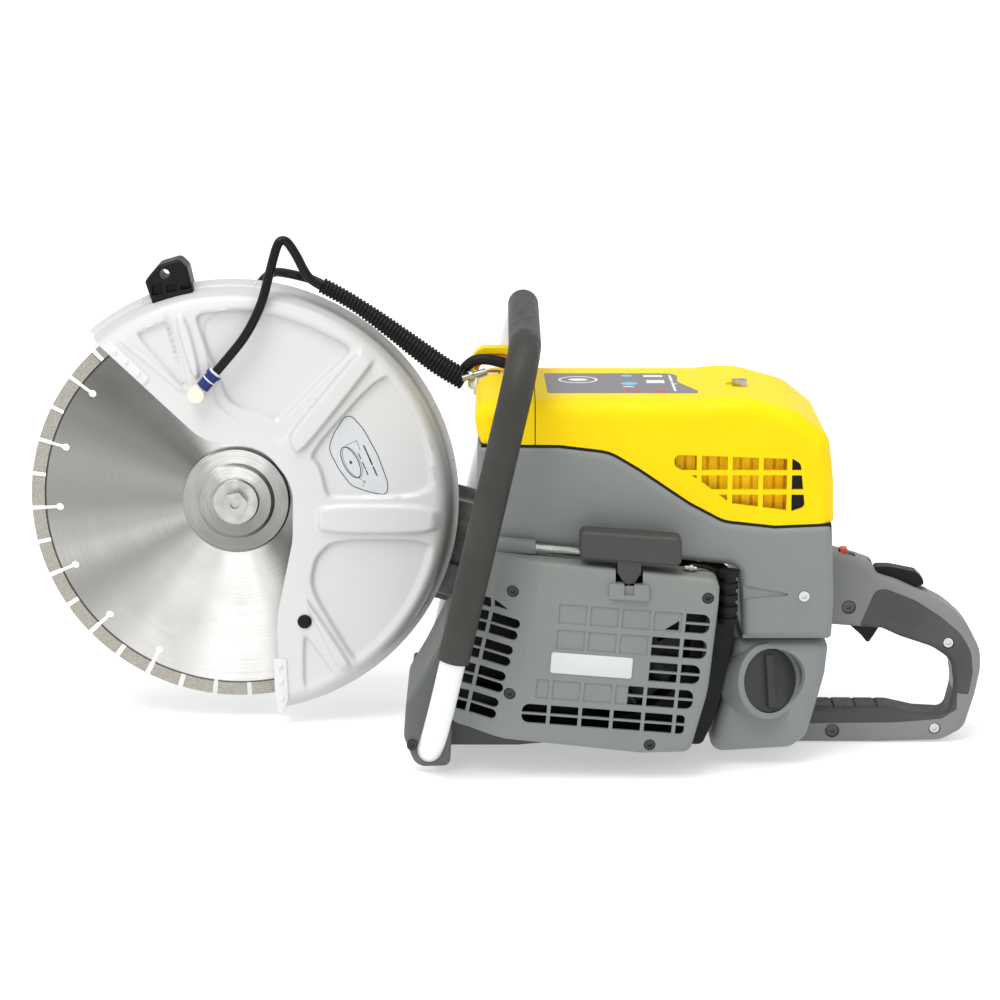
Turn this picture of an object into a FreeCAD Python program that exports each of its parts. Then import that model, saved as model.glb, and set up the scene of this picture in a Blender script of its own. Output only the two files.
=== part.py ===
"""Hand-held petrol cut-off saw: 350 mm segmented blade, belt arm, two-stroke engine, front hoop and rear handle.

Everything is drawn in millimetres about the blade spindle's axis, which runs along Y:
+X towards the rear handle, +Y to the operator's right, +Z up. place() then moves each
sub-part to the row frame, whose origin is under the middle of the saw on the ground.
"""
import FreeCAD
import Part
import math
import os

V = FreeCAD.Vector
Y_AXIS = V(0, 1, 0)
Z_AXIS = V(0, 0, 1)

# ---- driving dimensions ----
SPINDLE_X = -228.2          # spindle axis in the row frame
SPINDLE_Z = 197.0           # height of the spindle above the ground
BLADE_R = 175.0             # 350 mm blade
SEGMENT_H = 11.0
SEGMENTS = 36
SEGMENT_GAP = 4.3
CORE_T = 2.4
SEGMENT_T = 3.4
BLADE_Y = 50.0              # plane of the blade, right of the rear handle's middle
SPINDLE_R = 10.0
FLANGE_R = 46.0

GUARD_FACE_Y = 26.0         # outer face of the guard's left shell
GUARD_BACK_Y = 78.0         # outer face of the guard's right shell
GUARD_SEAM_Y = 52.0
GUARD_FACE_R = 174.0
GUARD_WALL_R = 184.0
GUARD_RIM_R = 190.0
SHEET = 2.4                 # wall of the guard and covers
COLLAR_R = 25.0             # collar of the arm that the guard turns on

ARM_Y0, ARM_Y1 = 81.0, 98.0
BELT_Y0, BELT_Y1 = 102.0, 115.0
BELT_T = 5.0
BLADE_PULLEY_R = 42.0
DRIVE_PULLEY_R = 21.0
RUN = 0.06                  # radial running clearance

CRANK_X, CRANK_Z = 318.0, -88.0
ENGINE_Y = 5.0              # middle plane of the cylinder
CRANK_R = 18.5
WEB_R = 32.0
BORE_R = 25.0
ROD_L = 64.0

HOUSING_L, HOUSING_R = -85.0, 72.0
HOOD_L, HOOD_R = -82.0, 70.0
STARTER_FACE = -116.0
STARTER_BACK = -84.0
GRILLE_TILT = -4.5          # degrees that the starter grille leans

TUBE_R = 10.5
SLEEVE_R = 13.0
HOOP_L, HOOP_R = -133.0, 135.5
HOOP_LEAN = 0.229           # rearward run of the hoop per unit of height
HOOP_TOP = 162.0            # height of the crossbar's centre line
TOP_BEND, SKID_BEND = 42.0, 80.0
HOOP_BENDS = (SKID_BEND, TOP_BEND, TOP_BEND, SKID_BEND)

HANDLE_HALF = 17.0          # half width of the rear handle
TRIGGER_HALF = 5.5
PIVOT_R = 3.0               # holes for the trigger's and the lock lever's pins
BELT_COVER_Y = 122.8
BEARING_R = 16.0
DRUM_R = 34.0
ARM_BOLT_R = 3.0
TENSIONER_PLACE = (262.0, -62.0)
REEL_POST_R = 6.0


# ---- small makers ----
def rounded_wire(points, at):
    """Closed wire through (u, w, radius) corners; at(u, w) gives the 3-D point."""
    count = len(points)
    ends = []
    for i, (u, w, r) in enumerate(points):
        pu, pw, _ = points[i - 1]
        nu, nw, _ = points[(i + 1) % count]
        a, b = V(pu - u, pw - w, 0), V(nu - u, nw - w, 0)
        la, lb = a.Length, b.Length
        a.normalize()
        b.normalize()
        turn = math.pi - a.getAngle(b)
        if r < 1e-6 or turn < 1e-3:
            ends.append((V(u, w, 0), None, V(u, w, 0)))
            continue
        cut = min(r * math.tan(turn / 2), 0.49 * la, 0.49 * lb)
        radius = cut / math.tan(turn / 2)
        corner = V(u, w, 0)
        middle = a + b
        middle.normalize()
        depth = radius / math.cos(turn / 2) - radius
        ends.append((corner + a * cut, corner + middle * depth, corner + b * cut))
    edges = []
    for i, (start, mid, end) in enumerate(ends):
        if mid is not None:
            edges.append(Part.Arc(at(start.x, start.y), at(mid.x, mid.y), at(end.x, end.y)).toShape())
        following = ends[(i + 1) % count][0]
        if end.distanceToPoint(following) > 1e-6:
            edges.append(Part.LineSegment(at(end.x, end.y), at(following.x, following.y)).toShape())
    return Part.Wire(edges)


def corners(points, radius=0.0):
    """(x, z) pairs as (x, z, radius) corners; a pair that already has a radius keeps it."""
    return [p if len(p) == 3 else (p[0], p[1], radius) for p in points]


def prism(points, y0, y1, radius=0.0, holes=()):
    """Side outline in X and Z, extruded along Y."""
    wires = [rounded_wire(corners(points, radius), lambda u, w: V(u, y0, w))]
    wires += [rounded_wire(corners(h, radius), lambda u, w: V(u, y0, w)) for h in holes]
    face = Part.Face(wires[0]) if len(wires) == 1 else Part.makeFace(wires, "Part::FaceMakerBullseye")
    return face.extrude(V(0, y1 - y0, 0))


def cyl_y(x, z, r, y0, y1):
    return Part.makeCylinder(r, y1 - y0, V(x, y0, z), Y_AXIS)


def ring_y(x, z, r_out, r_in, y0, y1):
    return cyl_y(x, z, r_out, y0, y1).cut(cyl_y(x, z, r_in, y0 - 1, y1 + 1))


def box(x0, x1, y0, y1, z0, z1):
    return Part.makeBox(x1 - x0, y1 - y0, z1 - z0, V(x0, y0, z0))


def spun(profile, x=0.0, z=0.0):
    """(radius, y) outline turned about the axis along Y through (x, z)."""
    pts = [V(x + r, y, z) for r, y in profile]
    face = Part.Face(Part.makePolygon(pts + pts[:1]))
    return face.revolve(V(x, 0, z), Y_AXIS, 360)


def fuse(shapes):
    return shapes[0].multiFuse(shapes[1:]).removeSplitter() if len(shapes) > 1 else shapes[0]


def edges_at_y(shape, y):
    """Edges lying wholly in the plane at y."""
    return [e for e in shape.Edges if abs(e.BoundBox.YMin - y) < 1e-4 and abs(e.BoundBox.YMax - y) < 1e-4]


def eased(shape, radius, *planes, where=None):
    """Fillets the edges in the given Y planes; where(centre) may pick only some of them."""
    chosen = [e for y in planes for e in edges_at_y(shape, y)]
    return shape.makeFillet(radius, [e for e in chosen if where is None or where(e.CenterOfMass)])


def hex_y(x, z, flats, y0, y1, turn=0.0):
    reach = flats / math.sqrt(3)
    pts = [(x + reach * math.cos(math.radians(60 * i + turn)),
            z + reach * math.sin(math.radians(60 * i + turn))) for i in range(6)]
    return prism(pts, y0, y1)


def rotated(shape, x, z, degrees):
    """Turned about the Y axis through (x, z); positive lifts +X towards +Z."""
    turned = shape.copy()
    turned.rotate(V(x, 0, z), Y_AXIS, -degrees)
    return turned


def pipe(points, radius, bends=None):
    """Round bar through points, with tangent arcs at the inner ones, of the given bend radii if any."""
    runs = [(points[i + 1] - points[i]).Length for i in range(len(points) - 1)]
    edges, start = [], points[0]
    for i in range(1, len(points) - 1):
        a = points[i - 1] - points[i]
        b = points[i + 1] - points[i]
        a.normalize()
        b.normalize()
        half = (math.pi - a.getAngle(b)) / 2
        arc_r = bends[i - 1] if bends else 0.45 * min(runs[i - 1], runs[i]) / math.tan(half)
        cut = arc_r * math.tan(half)
        middle = a + b
        middle.normalize()
        entry, leave = points[i] + a * cut, points[i] + b * cut
        if start.distanceToPoint(entry) > 1e-6:
            edges.append(Part.LineSegment(start, entry).toShape())
        top = points[i] + middle * (arc_r / math.cos(half) - arc_r)
        edges.append(Part.Arc(entry, top, leave).toShape())
        start = leave
    edges.append(Part.LineSegment(start, points[-1]).toShape())
    path = Part.Wire(edges)
    disc = Part.Wire([Part.Circle(points[0], points[1] - points[0], radius).toShape()])
    solid = path.makePipeShell([disc], True, False)
    expected = path.Length * math.pi * radius ** 2
    if abs(solid.Volume / expected - 1) > 0.02:
        print("pipe volume is off:", solid.Volume, expected)
    return solid


def pipe_radii(name, points):
    """Prints the bend radii of a hose so that sharp turns show up."""
    runs = [(points[i + 1] - points[i]).Length for i in range(len(points) - 1)]
    radii = []
    for i in range(1, len(points) - 1):
        half = (math.pi - (points[i - 1] - points[i]).getAngle(points[i + 1] - points[i])) / 2
        radii.append(round(0.45 * min(runs[i - 1], runs[i]) / math.tan(half), 1))
    print(name, "length", round(sum(runs), 1), "radii", radii)


# ---- blade and spindle ----
def blade_core():
    outer = BLADE_R - SEGMENT_H
    y0, y1 = BLADE_Y - CORE_T / 2, BLADE_Y + CORE_T / 2
    disc = ring_y(0, 0, outer, SPINDLE_R, y0, y1)
    slot_r, slot_half, key_r = 151.5, 1.5, 3.2
    cuts = []
    for i in range(SEGMENTS // 2):
        slot = box(slot_r, outer + 5, y0 - 1, y1 + 1, -slot_half, slot_half)
        slot = slot.fuse(cyl_y(slot_r, 0, key_r, y0 - 1, y1 + 1))
        cuts.append(rotated(slot, 0, 0, i * 720.0 / SEGMENTS + 2.5))
    return disc.cut(Part.makeCompound(cuts))


def blade_segments():
    inner = BLADE_R - SEGMENT_H
    y0, y1 = BLADE_Y - SEGMENT_T / 2, BLADE_Y + SEGMENT_T / 2
    pitch = 360.0 / SEGMENTS
    half = pitch / 2 - math.degrees(SEGMENT_GAP / 2 / BLADE_R)
    segment = ring_y(0, 0, BLADE_R, inner, y0, y1)
    reach = BLADE_R * 1.2
    lo, hi = math.radians(-half), math.radians(half)
    wedge = prism([(0, 0), (reach * math.cos(lo), reach * math.sin(lo)),
                   (reach * math.cos(hi), reach * math.sin(hi))], y0 - 1, y1 + 1)
    segment = segment.common(wedge)
    return Part.makeCompound([rotated(segment, 0, 0, (i + 0.5) * pitch + 2.5) for i in range(SEGMENTS)])


def flanges():
    face = BLADE_Y - CORE_T / 2
    outer = spun([(5.2, face - 7.6), (30, face - 7.6), (33, face - 5.2), (FLANGE_R - 1.5, face - 4.4),
                  (FLANGE_R, face - 3.2), (FLANGE_R, face), (33, face), (31, face - 1.8),
                  (SPINDLE_R + 2, face - 1.8), (SPINDLE_R + 2, face - 2.4), (5.2, face - 2.4)])
    back = BLADE_Y + CORE_T / 2
    inner = spun([(SPINDLE_R, back), (FLANGE_R, back), (FLANGE_R, back + 3.5), (24, back + 6),
                  (16, back + 9), (SPINDLE_R, back + 9)])
    return outer, inner


def blade_bolt():
    top = BLADE_Y - CORE_T / 2 - 7.6
    washer = cyl_y(0, 0, 20, top - 3, top)
    washer = washer.makeChamfer(1.2, edges_at_y(washer, top - 3))
    head = hex_y(0, 0, 19, top - 11, top - 3, 12).common(cyl_y(0, 0, 10.6, top - 11, top - 3))
    socket = cyl_y(0, 0, 4, top - 12, top - 8)
    shank = cyl_y(0, 0, 4.9, top, top + 34)
    return fuse([washer, head, shank]).cut(socket)


def spindle():
    body = fuse([cyl_y(0, 0, SPINDLE_R, BLADE_Y - CORE_T / 2 - 2.2, ARM_Y1 + 0.5),
                 cyl_y(0, 0, 8, ARM_Y1 + 0.5, BELT_Y1 + 3)])
    return body.cut(cyl_y(0, 0, 5.0, BLADE_Y - 10, BLADE_Y + 30))


def grooved_pulley(x, z, radius, bore, hub):
    """Poly-V pulley with a flange each side."""
    grooves, lip, depth = 5, 2.0, 2.2
    width = BELT_Y1 - BELT_Y0 - 1.0
    y0 = BELT_Y0 + 0.5
    profile = [(bore, BELT_Y0 - 3), (radius + lip, BELT_Y0 - 3), (radius + lip, BELT_Y0 - 1)]
    profile += [(radius - 0.2, BELT_Y0 - 1), (radius - 0.2, y0)]
    step = width / grooves
    for i in range(grooves):
        profile += [(radius - depth, y0 + (i + 0.5) * step), (radius - 0.2, y0 + (i + 1) * step)]
    profile += [(radius - 0.2, BELT_Y1), (hub, BELT_Y1), (bore, BELT_Y1)]
    return spun(profile, x, z)


def blade_pulley():
    wheel = grooved_pulley(0, 0, BLADE_PULLEY_R, 8.0, 20.0)
    holes = [cyl_y(26 * math.cos(a), 26 * math.sin(a), 7.5, 90, 130)
             for a in [math.radians(60 * i) for i in range(6)]]
    return wheel.cut(Part.makeCompound(holes))


def pulley_nut():
    return hex_y(0, 0, 22, BELT_Y1, BELT_Y1 + 4.5).cut(cyl_y(0, 0, 8, BELT_Y1 - 1, BELT_Y1 + 6))


# ---- arm, belt and their covers ----
def belt_loop(r_blade, r_drive, y0, y1):
    """Outline round both pulleys at the given radii, as a solid."""
    gap = math.hypot(CRANK_X, CRANK_Z)
    lean = math.atan2(CRANK_Z, CRANK_X)
    side = math.acos((r_blade - r_drive) / gap)
    pts = []
    for sign in (1, -1):
        a = lean + sign * side
        pts.append(((r_blade * math.cos(a), r_blade * math.sin(a)),
                    (CRANK_X + r_drive * math.cos(a), CRANK_Z + r_drive * math.sin(a))))
    (b1, d1), (b2, d2) = pts
    strip = prism([b1, d1, d2, b2], y0, y1)
    return fuse([strip, cyl_y(0, 0, r_blade, y0, y1), cyl_y(CRANK_X, CRANK_Z, r_drive, y0, y1)])


def drive_belt():
    return belt_loop(BLADE_PULLEY_R + BELT_T, DRIVE_PULLEY_R + BELT_T, BELT_Y0, BELT_Y1).cut(
        belt_loop(BLADE_PULLEY_R, DRIVE_PULLEY_R, BELT_Y0 - 1, BELT_Y1 + 1))


def cutting_arm():
    """Cast arm with the guard collar and bearing seat at its front end."""
    arm = eased(belt_loop(34, 50, ARM_Y0, ARM_Y1), 2.0, ARM_Y0)
    back_plate = belt_loop(54.5, 50, ARM_Y1 - 3, ARM_Y1)
    collar = cyl_y(0, 0, COLLAR_R - RUN, GUARD_BACK_Y - SHEET - 2, ARM_Y0 + 1)
    arm = fuse([arm, back_plate, collar])
    recess = prism([(62, -2), (210, -42), (210, -74), (62, -32)], ARM_Y0 - 1, ARM_Y0 + 8, 9)
    cuts = [cyl_y(0, 0, BEARING_R, ARM_Y0 + 1, ARM_Y1 + 1), cyl_y(0, 0, SPINDLE_R + 2, 60, 110), recess,
            cyl_y(CRANK_X, CRANK_Z, DRUM_R + 2, ARM_Y0 - 1, ARM_Y1 + 1),
            cyl_y(*TENSIONER_PLACE, 4, ARM_Y1 - 9, ARM_Y1 + 1)]
    cuts += [cyl_y(x, z, ARM_BOLT_R + 0.1, ARM_Y0 - 1, ARM_Y1 + 1) for x, z in arm_bolt_places()]
    return arm.cut(Part.makeCompound(cuts))


def arm_bolt_places():
    return [(CRANK_X + 42 * math.cos(math.radians(a)), CRANK_Z + 42 * math.sin(math.radians(a)))
            for a in (20, 140, 260)]


def ball_bearings():
    """Two bearings on the blade spindle and two on the crankshaft, as plain rings with a raceway gap."""
    rings = []
    for y0 in (ARM_Y0 + 1, ARM_Y1 - 8):
        rings.append(ring_y(0, 0, BEARING_R, SPINDLE_R + RUN, y0, y0 + 8).cut(
            ring_y(0, 0, 14, 12, y0 - 1, y0 + 1.2)))
    for y0 in (-34, 44):
        rings.append(ring_y(CRANK_X, CRANK_Z, 17, 8.5 + RUN, y0, y0 + 12).cut(
            ring_y(CRANK_X, CRANK_Z, 14.5, 11, y0 - 1, y0 + 1.2)))
    return Part.makeCompound(rings)


def arm_bolts():
    bolts = []
    for x, z in arm_bolt_places():
        head = hex_y(x, z, 7.5, ARM_Y1, ARM_Y1 + 3.5)
        bolts.append(fuse([head, cyl_y(x, z, ARM_BOLT_R, ARM_Y1 - 34, ARM_Y1)]))
    return Part.makeCompound(bolts)


COVER_SPLIT_X = 236.0


def belt_cover():
    """Cover over the belt's front run and the blade pulley, with cooling ribs."""
    outer = eased(belt_loop(54, 38, ARM_Y1 + 0.2, BELT_COVER_Y), 6, BELT_COVER_Y)
    inner = belt_loop(51, 35, ARM_Y1 - 1, BELT_COVER_Y - SHEET)
    shell = outer.cut(inner).cut(box(COVER_SPLIT_X, 500, 80, 150, -300, 100))
    ribs = []
    for i in range(4):
        x, top = 70 + 40 * i, 14 - 11 * i
        side = [(x, top), (x + 6, top - 2), (x + 6, top - 66), (x, top - 64)]
        ribs.append(prism(side, BELT_COVER_Y - 1, BELT_COVER_Y + 1.2))
    return fuse([shell] + ribs)


def clutch_cover():
    """Vented cover over the clutch drum, bolted to the arm behind the belt cover."""
    face = BELT_COVER_Y + 2
    outer = belt_loop(54, 50, ARM_Y1 + 0.2, face).common(box(COVER_SPLIT_X + 0.6, 500, 80, 150, -300, 100))
    outer = eased(outer, 5, face)
    inner = belt_loop(51, 47, ARM_Y1 - 1, face - SHEET).common(box(230, 500, 80, 150, -300, 100))
    slots = []
    for i in range(8):
        a = math.radians(45 * i)
        slots.append(cyl_y(CRANK_X + 34 * math.cos(a), CRANK_Z + 34 * math.sin(a), 4.5, 115, 140))
    return outer.cut(inner).cut(Part.makeCompound(slots))


def tensioner():
    """Cam bolt that sets the belt's tension."""
    head = hex_y(*TENSIONER_PLACE, 10, ARM_Y1 + 0.2, ARM_Y1 + 3.4)
    return fuse([head, cyl_y(*TENSIONER_PLACE, 3.9, ARM_Y1 - 8, ARM_Y1 + 1)])


# ---- crank side ----
def crankshaft():
    """Two full-circle webs and their journals; the crank pin stops short each side of the rod."""
    x, z, y = CRANK_X, CRANK_Z, ENGINE_Y
    left = [cyl_y(x, z, WEB_R, y - 19, y - 8), cyl_y(x, z, 8.5, -78, y - 18), cyl_y(x, z, 6, -89, -77),
            cyl_y(x, z + CRANK_R, 7.5, y - 9, y - 7)]
    right = [cyl_y(x, z, WEB_R, y + 8, y + 19), cyl_y(x, z, 8.5, y + 18, ARM_Y1 - 1),
             cyl_y(x, z, 6, ARM_Y1 - 2, BELT_Y1 + 3), cyl_y(x, z + CRANK_R, 7.5, y + 7, y + 9)]
    return Part.makeCompound([fuse(left), fuse(right)])


def flywheel():
    """Flywheel with the cooling fan's vanes on its outer face."""
    x, z = CRANK_X, CRANK_Z
    disc = ring_y(x, z, 60, 8.5, -64, -56)
    hub = ring_y(x, z, 20, 8.5, -74, -63)
    vanes = []
    count = 14
    for i in range(count):
        vane = box(x + 26, x + 58, -78, -63, z - 1.5, z + 1.5)
        vane = rotated(vane, x + 42, z, 24)
        vanes.append(rotated(vane, x, z, i * 360.0 / count))
    return fuse([disc, hub] + vanes)


def clutch():
    """Hub and three centrifugal shoes on the crankshaft's end."""
    x, z = CRANK_X, CRANK_Z
    hub = ring_y(x, z, 13, 8.5, ARM_Y0 + 1, ARM_Y1 - 3)
    shoes = []
    for i in range(3):
        shoe = ring_y(x, z, DRUM_R - 4, 17, ARM_Y0 + 2, ARM_Y1 - 4).common(
            prism([(x, z), (x + 60, z - 58), (x + 60, z + 58)], 70, 110))
        arm = box(x + 12, x + 19, ARM_Y0 + 4, ARM_Y1 - 6, z - 4, z + 4)
        shoes.append(rotated(shoe.fuse(arm), x, z, 120 * i))
    return fuse([hub] + shoes)


def clutch_drum():
    """Drum round the shoes with the small belt pulley on its outer side."""
    x, z = CRANK_X, CRANK_Z
    skirt = ring_y(x, z, DRUM_R, DRUM_R - 3, ARM_Y0 + 1, ARM_Y1 - 1)
    end = ring_y(x, z, DRUM_R, 8.5 + RUN, ARM_Y1 - 2, ARM_Y1 + 0.5)
    pulley = grooved_pulley(x, z, DRIVE_PULLEY_R, 6.0 + RUN, 14.0)
    neck = ring_y(x, z, 14, 8.5 + RUN, ARM_Y1 - 1, BELT_Y0 - 2)
    return fuse([skirt, end, neck, pulley])


def starter_reel():
    """Rope pulley of the recoil starter."""
    x, z = CRANK_X, CRANK_Z
    lip, groove, bore = 36, 29, REEL_POST_R + RUN
    return spun([(bore, -100), (lip, -100), (lip, -98.5), (groove, -97.5), (groove, -94.5), (lip, -93.5),
                 (lip, -92), (14, -92), (14, -90.5), (bore, -90.5)], x, z)


def recoil_spring():
    """Spring cassette in the middle of the starter cover."""
    return ring_y(CRANK_X, CRANK_Z, 26, 12, -108, -101)


# ---- engine ----
def crankcase():
    x, z = CRANK_X, CRANK_Z
    body = prism([(262, -150), (378, -150), (378, -118), (364, -52), (272, -52), (262, -112)],
                 -48, 58, 10)
    body = eased(body, 4, -48, 58)
    boss = cyl_y(x, z, 50, 50, ARM_Y0 - 0.1)
    case = fuse([body, boss])
    cuts = [cyl_y(x, z, 42, ENGINE_Y - 21, ENGINE_Y + 21), cyl_y(x, z, 17, -34, 56),
            cyl_y(x, z, 11, -60, 90), cyl_y(x, z, DRUM_R + 2, 66, 90),
            Part.makeCylinder(BORE_R, 60, V(x, ENGINE_Y, z + 10), Z_AXIS)]
    cuts += [cyl_y(bx, bz, ARM_BOLT_R + 0.1, 60, 90) for bx, bz in arm_bolt_places()]
    return case.cut(Part.makeCompound(cuts))


def cylinder():
    """Air-cooled cylinder with square fins, standing on the crankcase."""
    x, y = CRANK_X, ENGINE_Y
    base_z, top_z = -52.0, 36.0
    barrel = Part.makeCylinder(BORE_R + 5, top_z - base_z, V(x, y, base_z), Z_AXIS)
    foot = box(x - 34, x + 34, y - 34, y + 34, base_z, base_z + 6)
    parts = [barrel, foot]
    fins, pitch = 9, 8.4
    for i in range(fins):
        low = base_z + 12 + i * pitch
        half = 42 - 0.6 * abs(i - 5)
        parts.append(box(x - half, x + half, y - half, y + half, low, low + 2.4))
    body = fuse(parts)
    bore = Part.makeCylinder(BORE_R, 74, V(x, y, base_z - 1), Z_AXIS)
    plug_hole = Part.makeCylinder(7, 40, V(x, y, 10), Z_AXIS)
    exhaust = Part.makeCylinder(10, 40, V(x - 62, y, -8), V(1, 0, 0))
    intake = Part.makeCylinder(9, 40, V(x + 22, y, -12), V(1, 0, 0))
    return body.cut(Part.makeCompound([bore, plug_hole, exhaust, intake]))


def piston():
    """Piston at top dead centre, with its gudgeon pin."""
    pin_z = CRANK_Z + CRANK_R + ROD_L
    x, y = CRANK_X, ENGINE_Y
    skirt = Part.makeCylinder(BORE_R - RUN, 29, V(x, y, pin_z - 12), Z_AXIS)
    hollow = Part.makeCylinder(BORE_R - 4, 24, V(x, y, pin_z - 13), Z_AXIS)
    pin = cyl_y(x, pin_z, 5.5, y - 23, y + 23)
    grooves = [Part.makeCylinder(BORE_R + 1, 1.6, V(x, y, pin_z + h), Z_AXIS).cut(
        Part.makeCylinder(BORE_R - 2, 1.6, V(x, y, pin_z + h), Z_AXIS)) for h in (8, 12)]
    return fuse([skirt.cut(hollow), pin]).cut(Part.makeCompound(grooves))


def connecting_rod():
    """Rod hung from the gudgeon pin; its big end hangs open between the webs."""
    x, y, pin_z = CRANK_X, ENGINE_Y, CRANK_Z + CRANK_R + ROD_L
    small = cyl_y(x, pin_z, 9, y - 6, y + 6)
    big = cyl_y(x, pin_z - ROD_L, 13, y - 6, y + 6)
    shank = box(x - 5, x + 5, y - 4, y + 4, pin_z - ROD_L + 8, pin_z - 4)
    return fuse([small, big, shank]).cut(Part.makeCompound(
        [cyl_y(x, pin_z, 5.5 + RUN, y - 9, y + 9), cyl_y(x, pin_z - ROD_L, 9, y - 9, y + 9)]))


def spark_plug():
    x, y = CRANK_X, ENGINE_Y
    return fuse([Part.makeCylinder(6.9, 14, V(x, y, 22), Z_AXIS),
                 Part.makeCylinder(10, 9, V(x, y, 36), Z_AXIS),
                 Part.makeCylinder(6, 20, V(x, y, 44), Z_AXIS),
                 Part.makeCylinder(10, 26, V(x, y, 60), Z_AXIS)])


def muffler():
    """Hollow silencer between the guard and the cylinder, with its outlet facing forwards."""
    can = eased(prism([(212, -64), (258, -64), (258, 34), (212, 34)], -44, 64, 9), 6, -44, 64)
    inside = prism([(214, -62), (256, -62), (256, 32), (214, 32)], -42, 62, 7)
    neck = Part.makeCylinder(9.8, 36, V(254, ENGINE_Y, -8), V(1, 0, 0))
    outlet = Part.makeCylinder(8, 12, V(203, ENGINE_Y, -8), V(1, 0, 0))
    gas_way = Part.makeCylinder(6.5, 100, V(200, ENGINE_Y, -8), V(1, 0, 0))
    return fuse([can, neck, outlet]).cut(inside).cut(gas_way)


def carburettor():
    x0 = CRANK_X + 43
    body = box(x0 + 1, x0 + 37, ENGINE_Y - 19, ENGINE_Y + 19, -32, 8)
    bowl = Part.makeCylinder(15, 8, V(x0 + 19, ENGINE_Y, -40), Z_AXIS)
    neck = Part.makeCylinder(8.8, 20, V(x0 - 16, ENGINE_Y, -12), V(1, 0, 0))
    return fuse([body, bowl, neck])


def air_filter():
    """Pleated intake filter under the rear of the hood, behind the side vent."""
    x0, x1, y0, y1, z0, z1 = 366.0, 474.0, -74.0, 40.0, 18.0, 78.0
    core = box(x0, x1, y0 + 3, y1 - 3, z0, z1)
    pleats = []
    count = 12
    step = (x1 - x0) / count
    for i in range(count):
        left = x0 + i * step + 1.2
        pleats.append(box(left, left + step - 2.4, y0, y1, z0 + 2, z1 - 2))
    return fuse([core] + pleats)


def engine_base():
    """Lower front casting that carries the crankcase and the hoop's skid run."""
    nose_side = [(192, -72, 3), (180, -78), (163, -112, 12), (148, -138, 16), (146, -166, 16),
                 (156, -192, 12), (184, -191, 6), (186, -158, 6), (172, -131), (186, -84)]
    nose = eased(prism(nose_side, -94, 14, 2), 3, -94, 14)
    bridge_side = [(150, -140), (150, -172), (158, -188), (240, -188), (376, -176), (376, -150.5),
                   (258, -150.5), (240, -140)]
    bridge = prism(bridge_side, -47.5, 60, 3)
    hollow = prism([(196, -190), (240, -190), (370, -178), (370, -156), (196, -156)], -42, 55, 3)
    channel = pipe(hoop_points(), TUBE_R + 0.3, HOOP_BENDS)
    bolt_hole = cyl_y(BASE_BOLT[0], BASE_BOLT[1], 3, -95, -80)
    return fuse([nose, bridge]).cut(hollow).cut(channel).cut(bolt_hole)


BASE_BOLT = (153.0, -172.0)


# ---- front hoop ----
def hoop_x(z):
    return 187.5 + HOOP_LEAN * (z + 89.0)


def hoop_points():
    """Centre line of the hoop, from the middle of its skid run round and back."""
    low, high = SKID_Z, HOOP_TOP
    return [V(hoop_x(low), 20, low), V(hoop_x(low), HOOP_L, low), V(hoop_x(high), HOOP_L, high),
            V(hoop_x(high), HOOP_R, high), V(hoop_x(low), HOOP_R, low), V(hoop_x(low), 20.4, low)]


SKID_Z = -SPINDLE_Z + TUBE_R


def sleeve_points():
    """Part of the hoop's line that the rubber covers: left leg and top run."""
    low, high, right_end = -88.0, HOOP_TOP, 88.0
    return [V(hoop_x(low), HOOP_L, low), V(hoop_x(high), HOOP_L, high), V(hoop_x(high), right_end, high)]


def hoop_sleeve():
    return pipe(sleeve_points(), SLEEVE_R, [TOP_BEND]).cut(pipe(sleeve_points(), TUBE_R, [TOP_BEND]))


# ---- housings ----
HOUSING_SIDE = [(207, 77), (273, 76.5), (314, 71.5, 40), (338, 57, 30), (379, 29, 30), (407, 14, 30),
                (448, 9.5), (494.5, 11.5), (498, -52), (496.5, -84.5), (424, -84.5, 4), (419, -24, 8),
                (402, -22), (205, -3, 4)]


def upper_housing():
    """Grey housing round the cylinder and carburettor, open above and below."""
    outer = eased(prism(HOUSING_SIDE, HOUSING_L, HOUSING_R, 2), 7, HOUSING_L)
    cavity = prism([(210, 90), (494, 90), (494, -48), (493, -81.5), (428, -81.5), (423, -28), (402, -40),
                    (210, -40)], HOUSING_L + 3, HOUSING_R - 3, 2)
    shell = outer.cut(cavity)
    ledge = box(424, 494, HOUSING_L + 3, HOUSING_R - 3, -84.4, -81.4)
    shell = fuse([shell, ledge])
    screw = cyl_y(473, -48, 4.6, HOUSING_L - 1, HOUSING_L + 1.8).fuse(
        cyl_y(473, -48, 2.5, HOUSING_L, HOUSING_L + 5))
    rail = prism([(230, -1.5), (300, -8), (300, -14), (230, -7.5)], HOUSING_L - 1.5, HOUSING_L + 1, 1)
    pass_through = Part.makeCylinder(13, 20, V(195, ENGINE_Y, -8), V(1, 0, 0))
    taper = prism([(410, -36), (466, -47), (410, -52)], HOUSING_L - 5, HOUSING_L + 1.2, 1)
    return fuse([shell, rail]).cut(screw).cut(pass_through).cut(taper)


HOOD_SIDE = [(202.5, 112.8, 16), (207.5, 78.2), (273, 77.7), (314, 72.7, 40), (338, 58.2, 30),
             (379, 30.2, 30), (407, 15.2, 30), (448, 10.7), (497, 12.7), (496, 45, 60), (491.5, 82, 16),
             (465, 103.5, 30), (424, 115, 40), (405, 115, 12), (388, 112.8, 12)]
HOOD_INSIDE = [(206.5, 40), (300, -30), (493, -30), (492.5, 44.5, 57), (488.5, 80.5, 13), (464, 100.6, 27),
               (423.5, 112, 37), (405.5, 112, 9), (388.5, 109.8, 9), (206.5, 109.8, 13)]
SCREW_PLACE = V(422, -20, 113.2)    # seat of the cover screw
HOOD_SPLIT_X = 253.5
COUPLING_Y, COUPLING_Z = 40.0, 104.0


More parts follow.
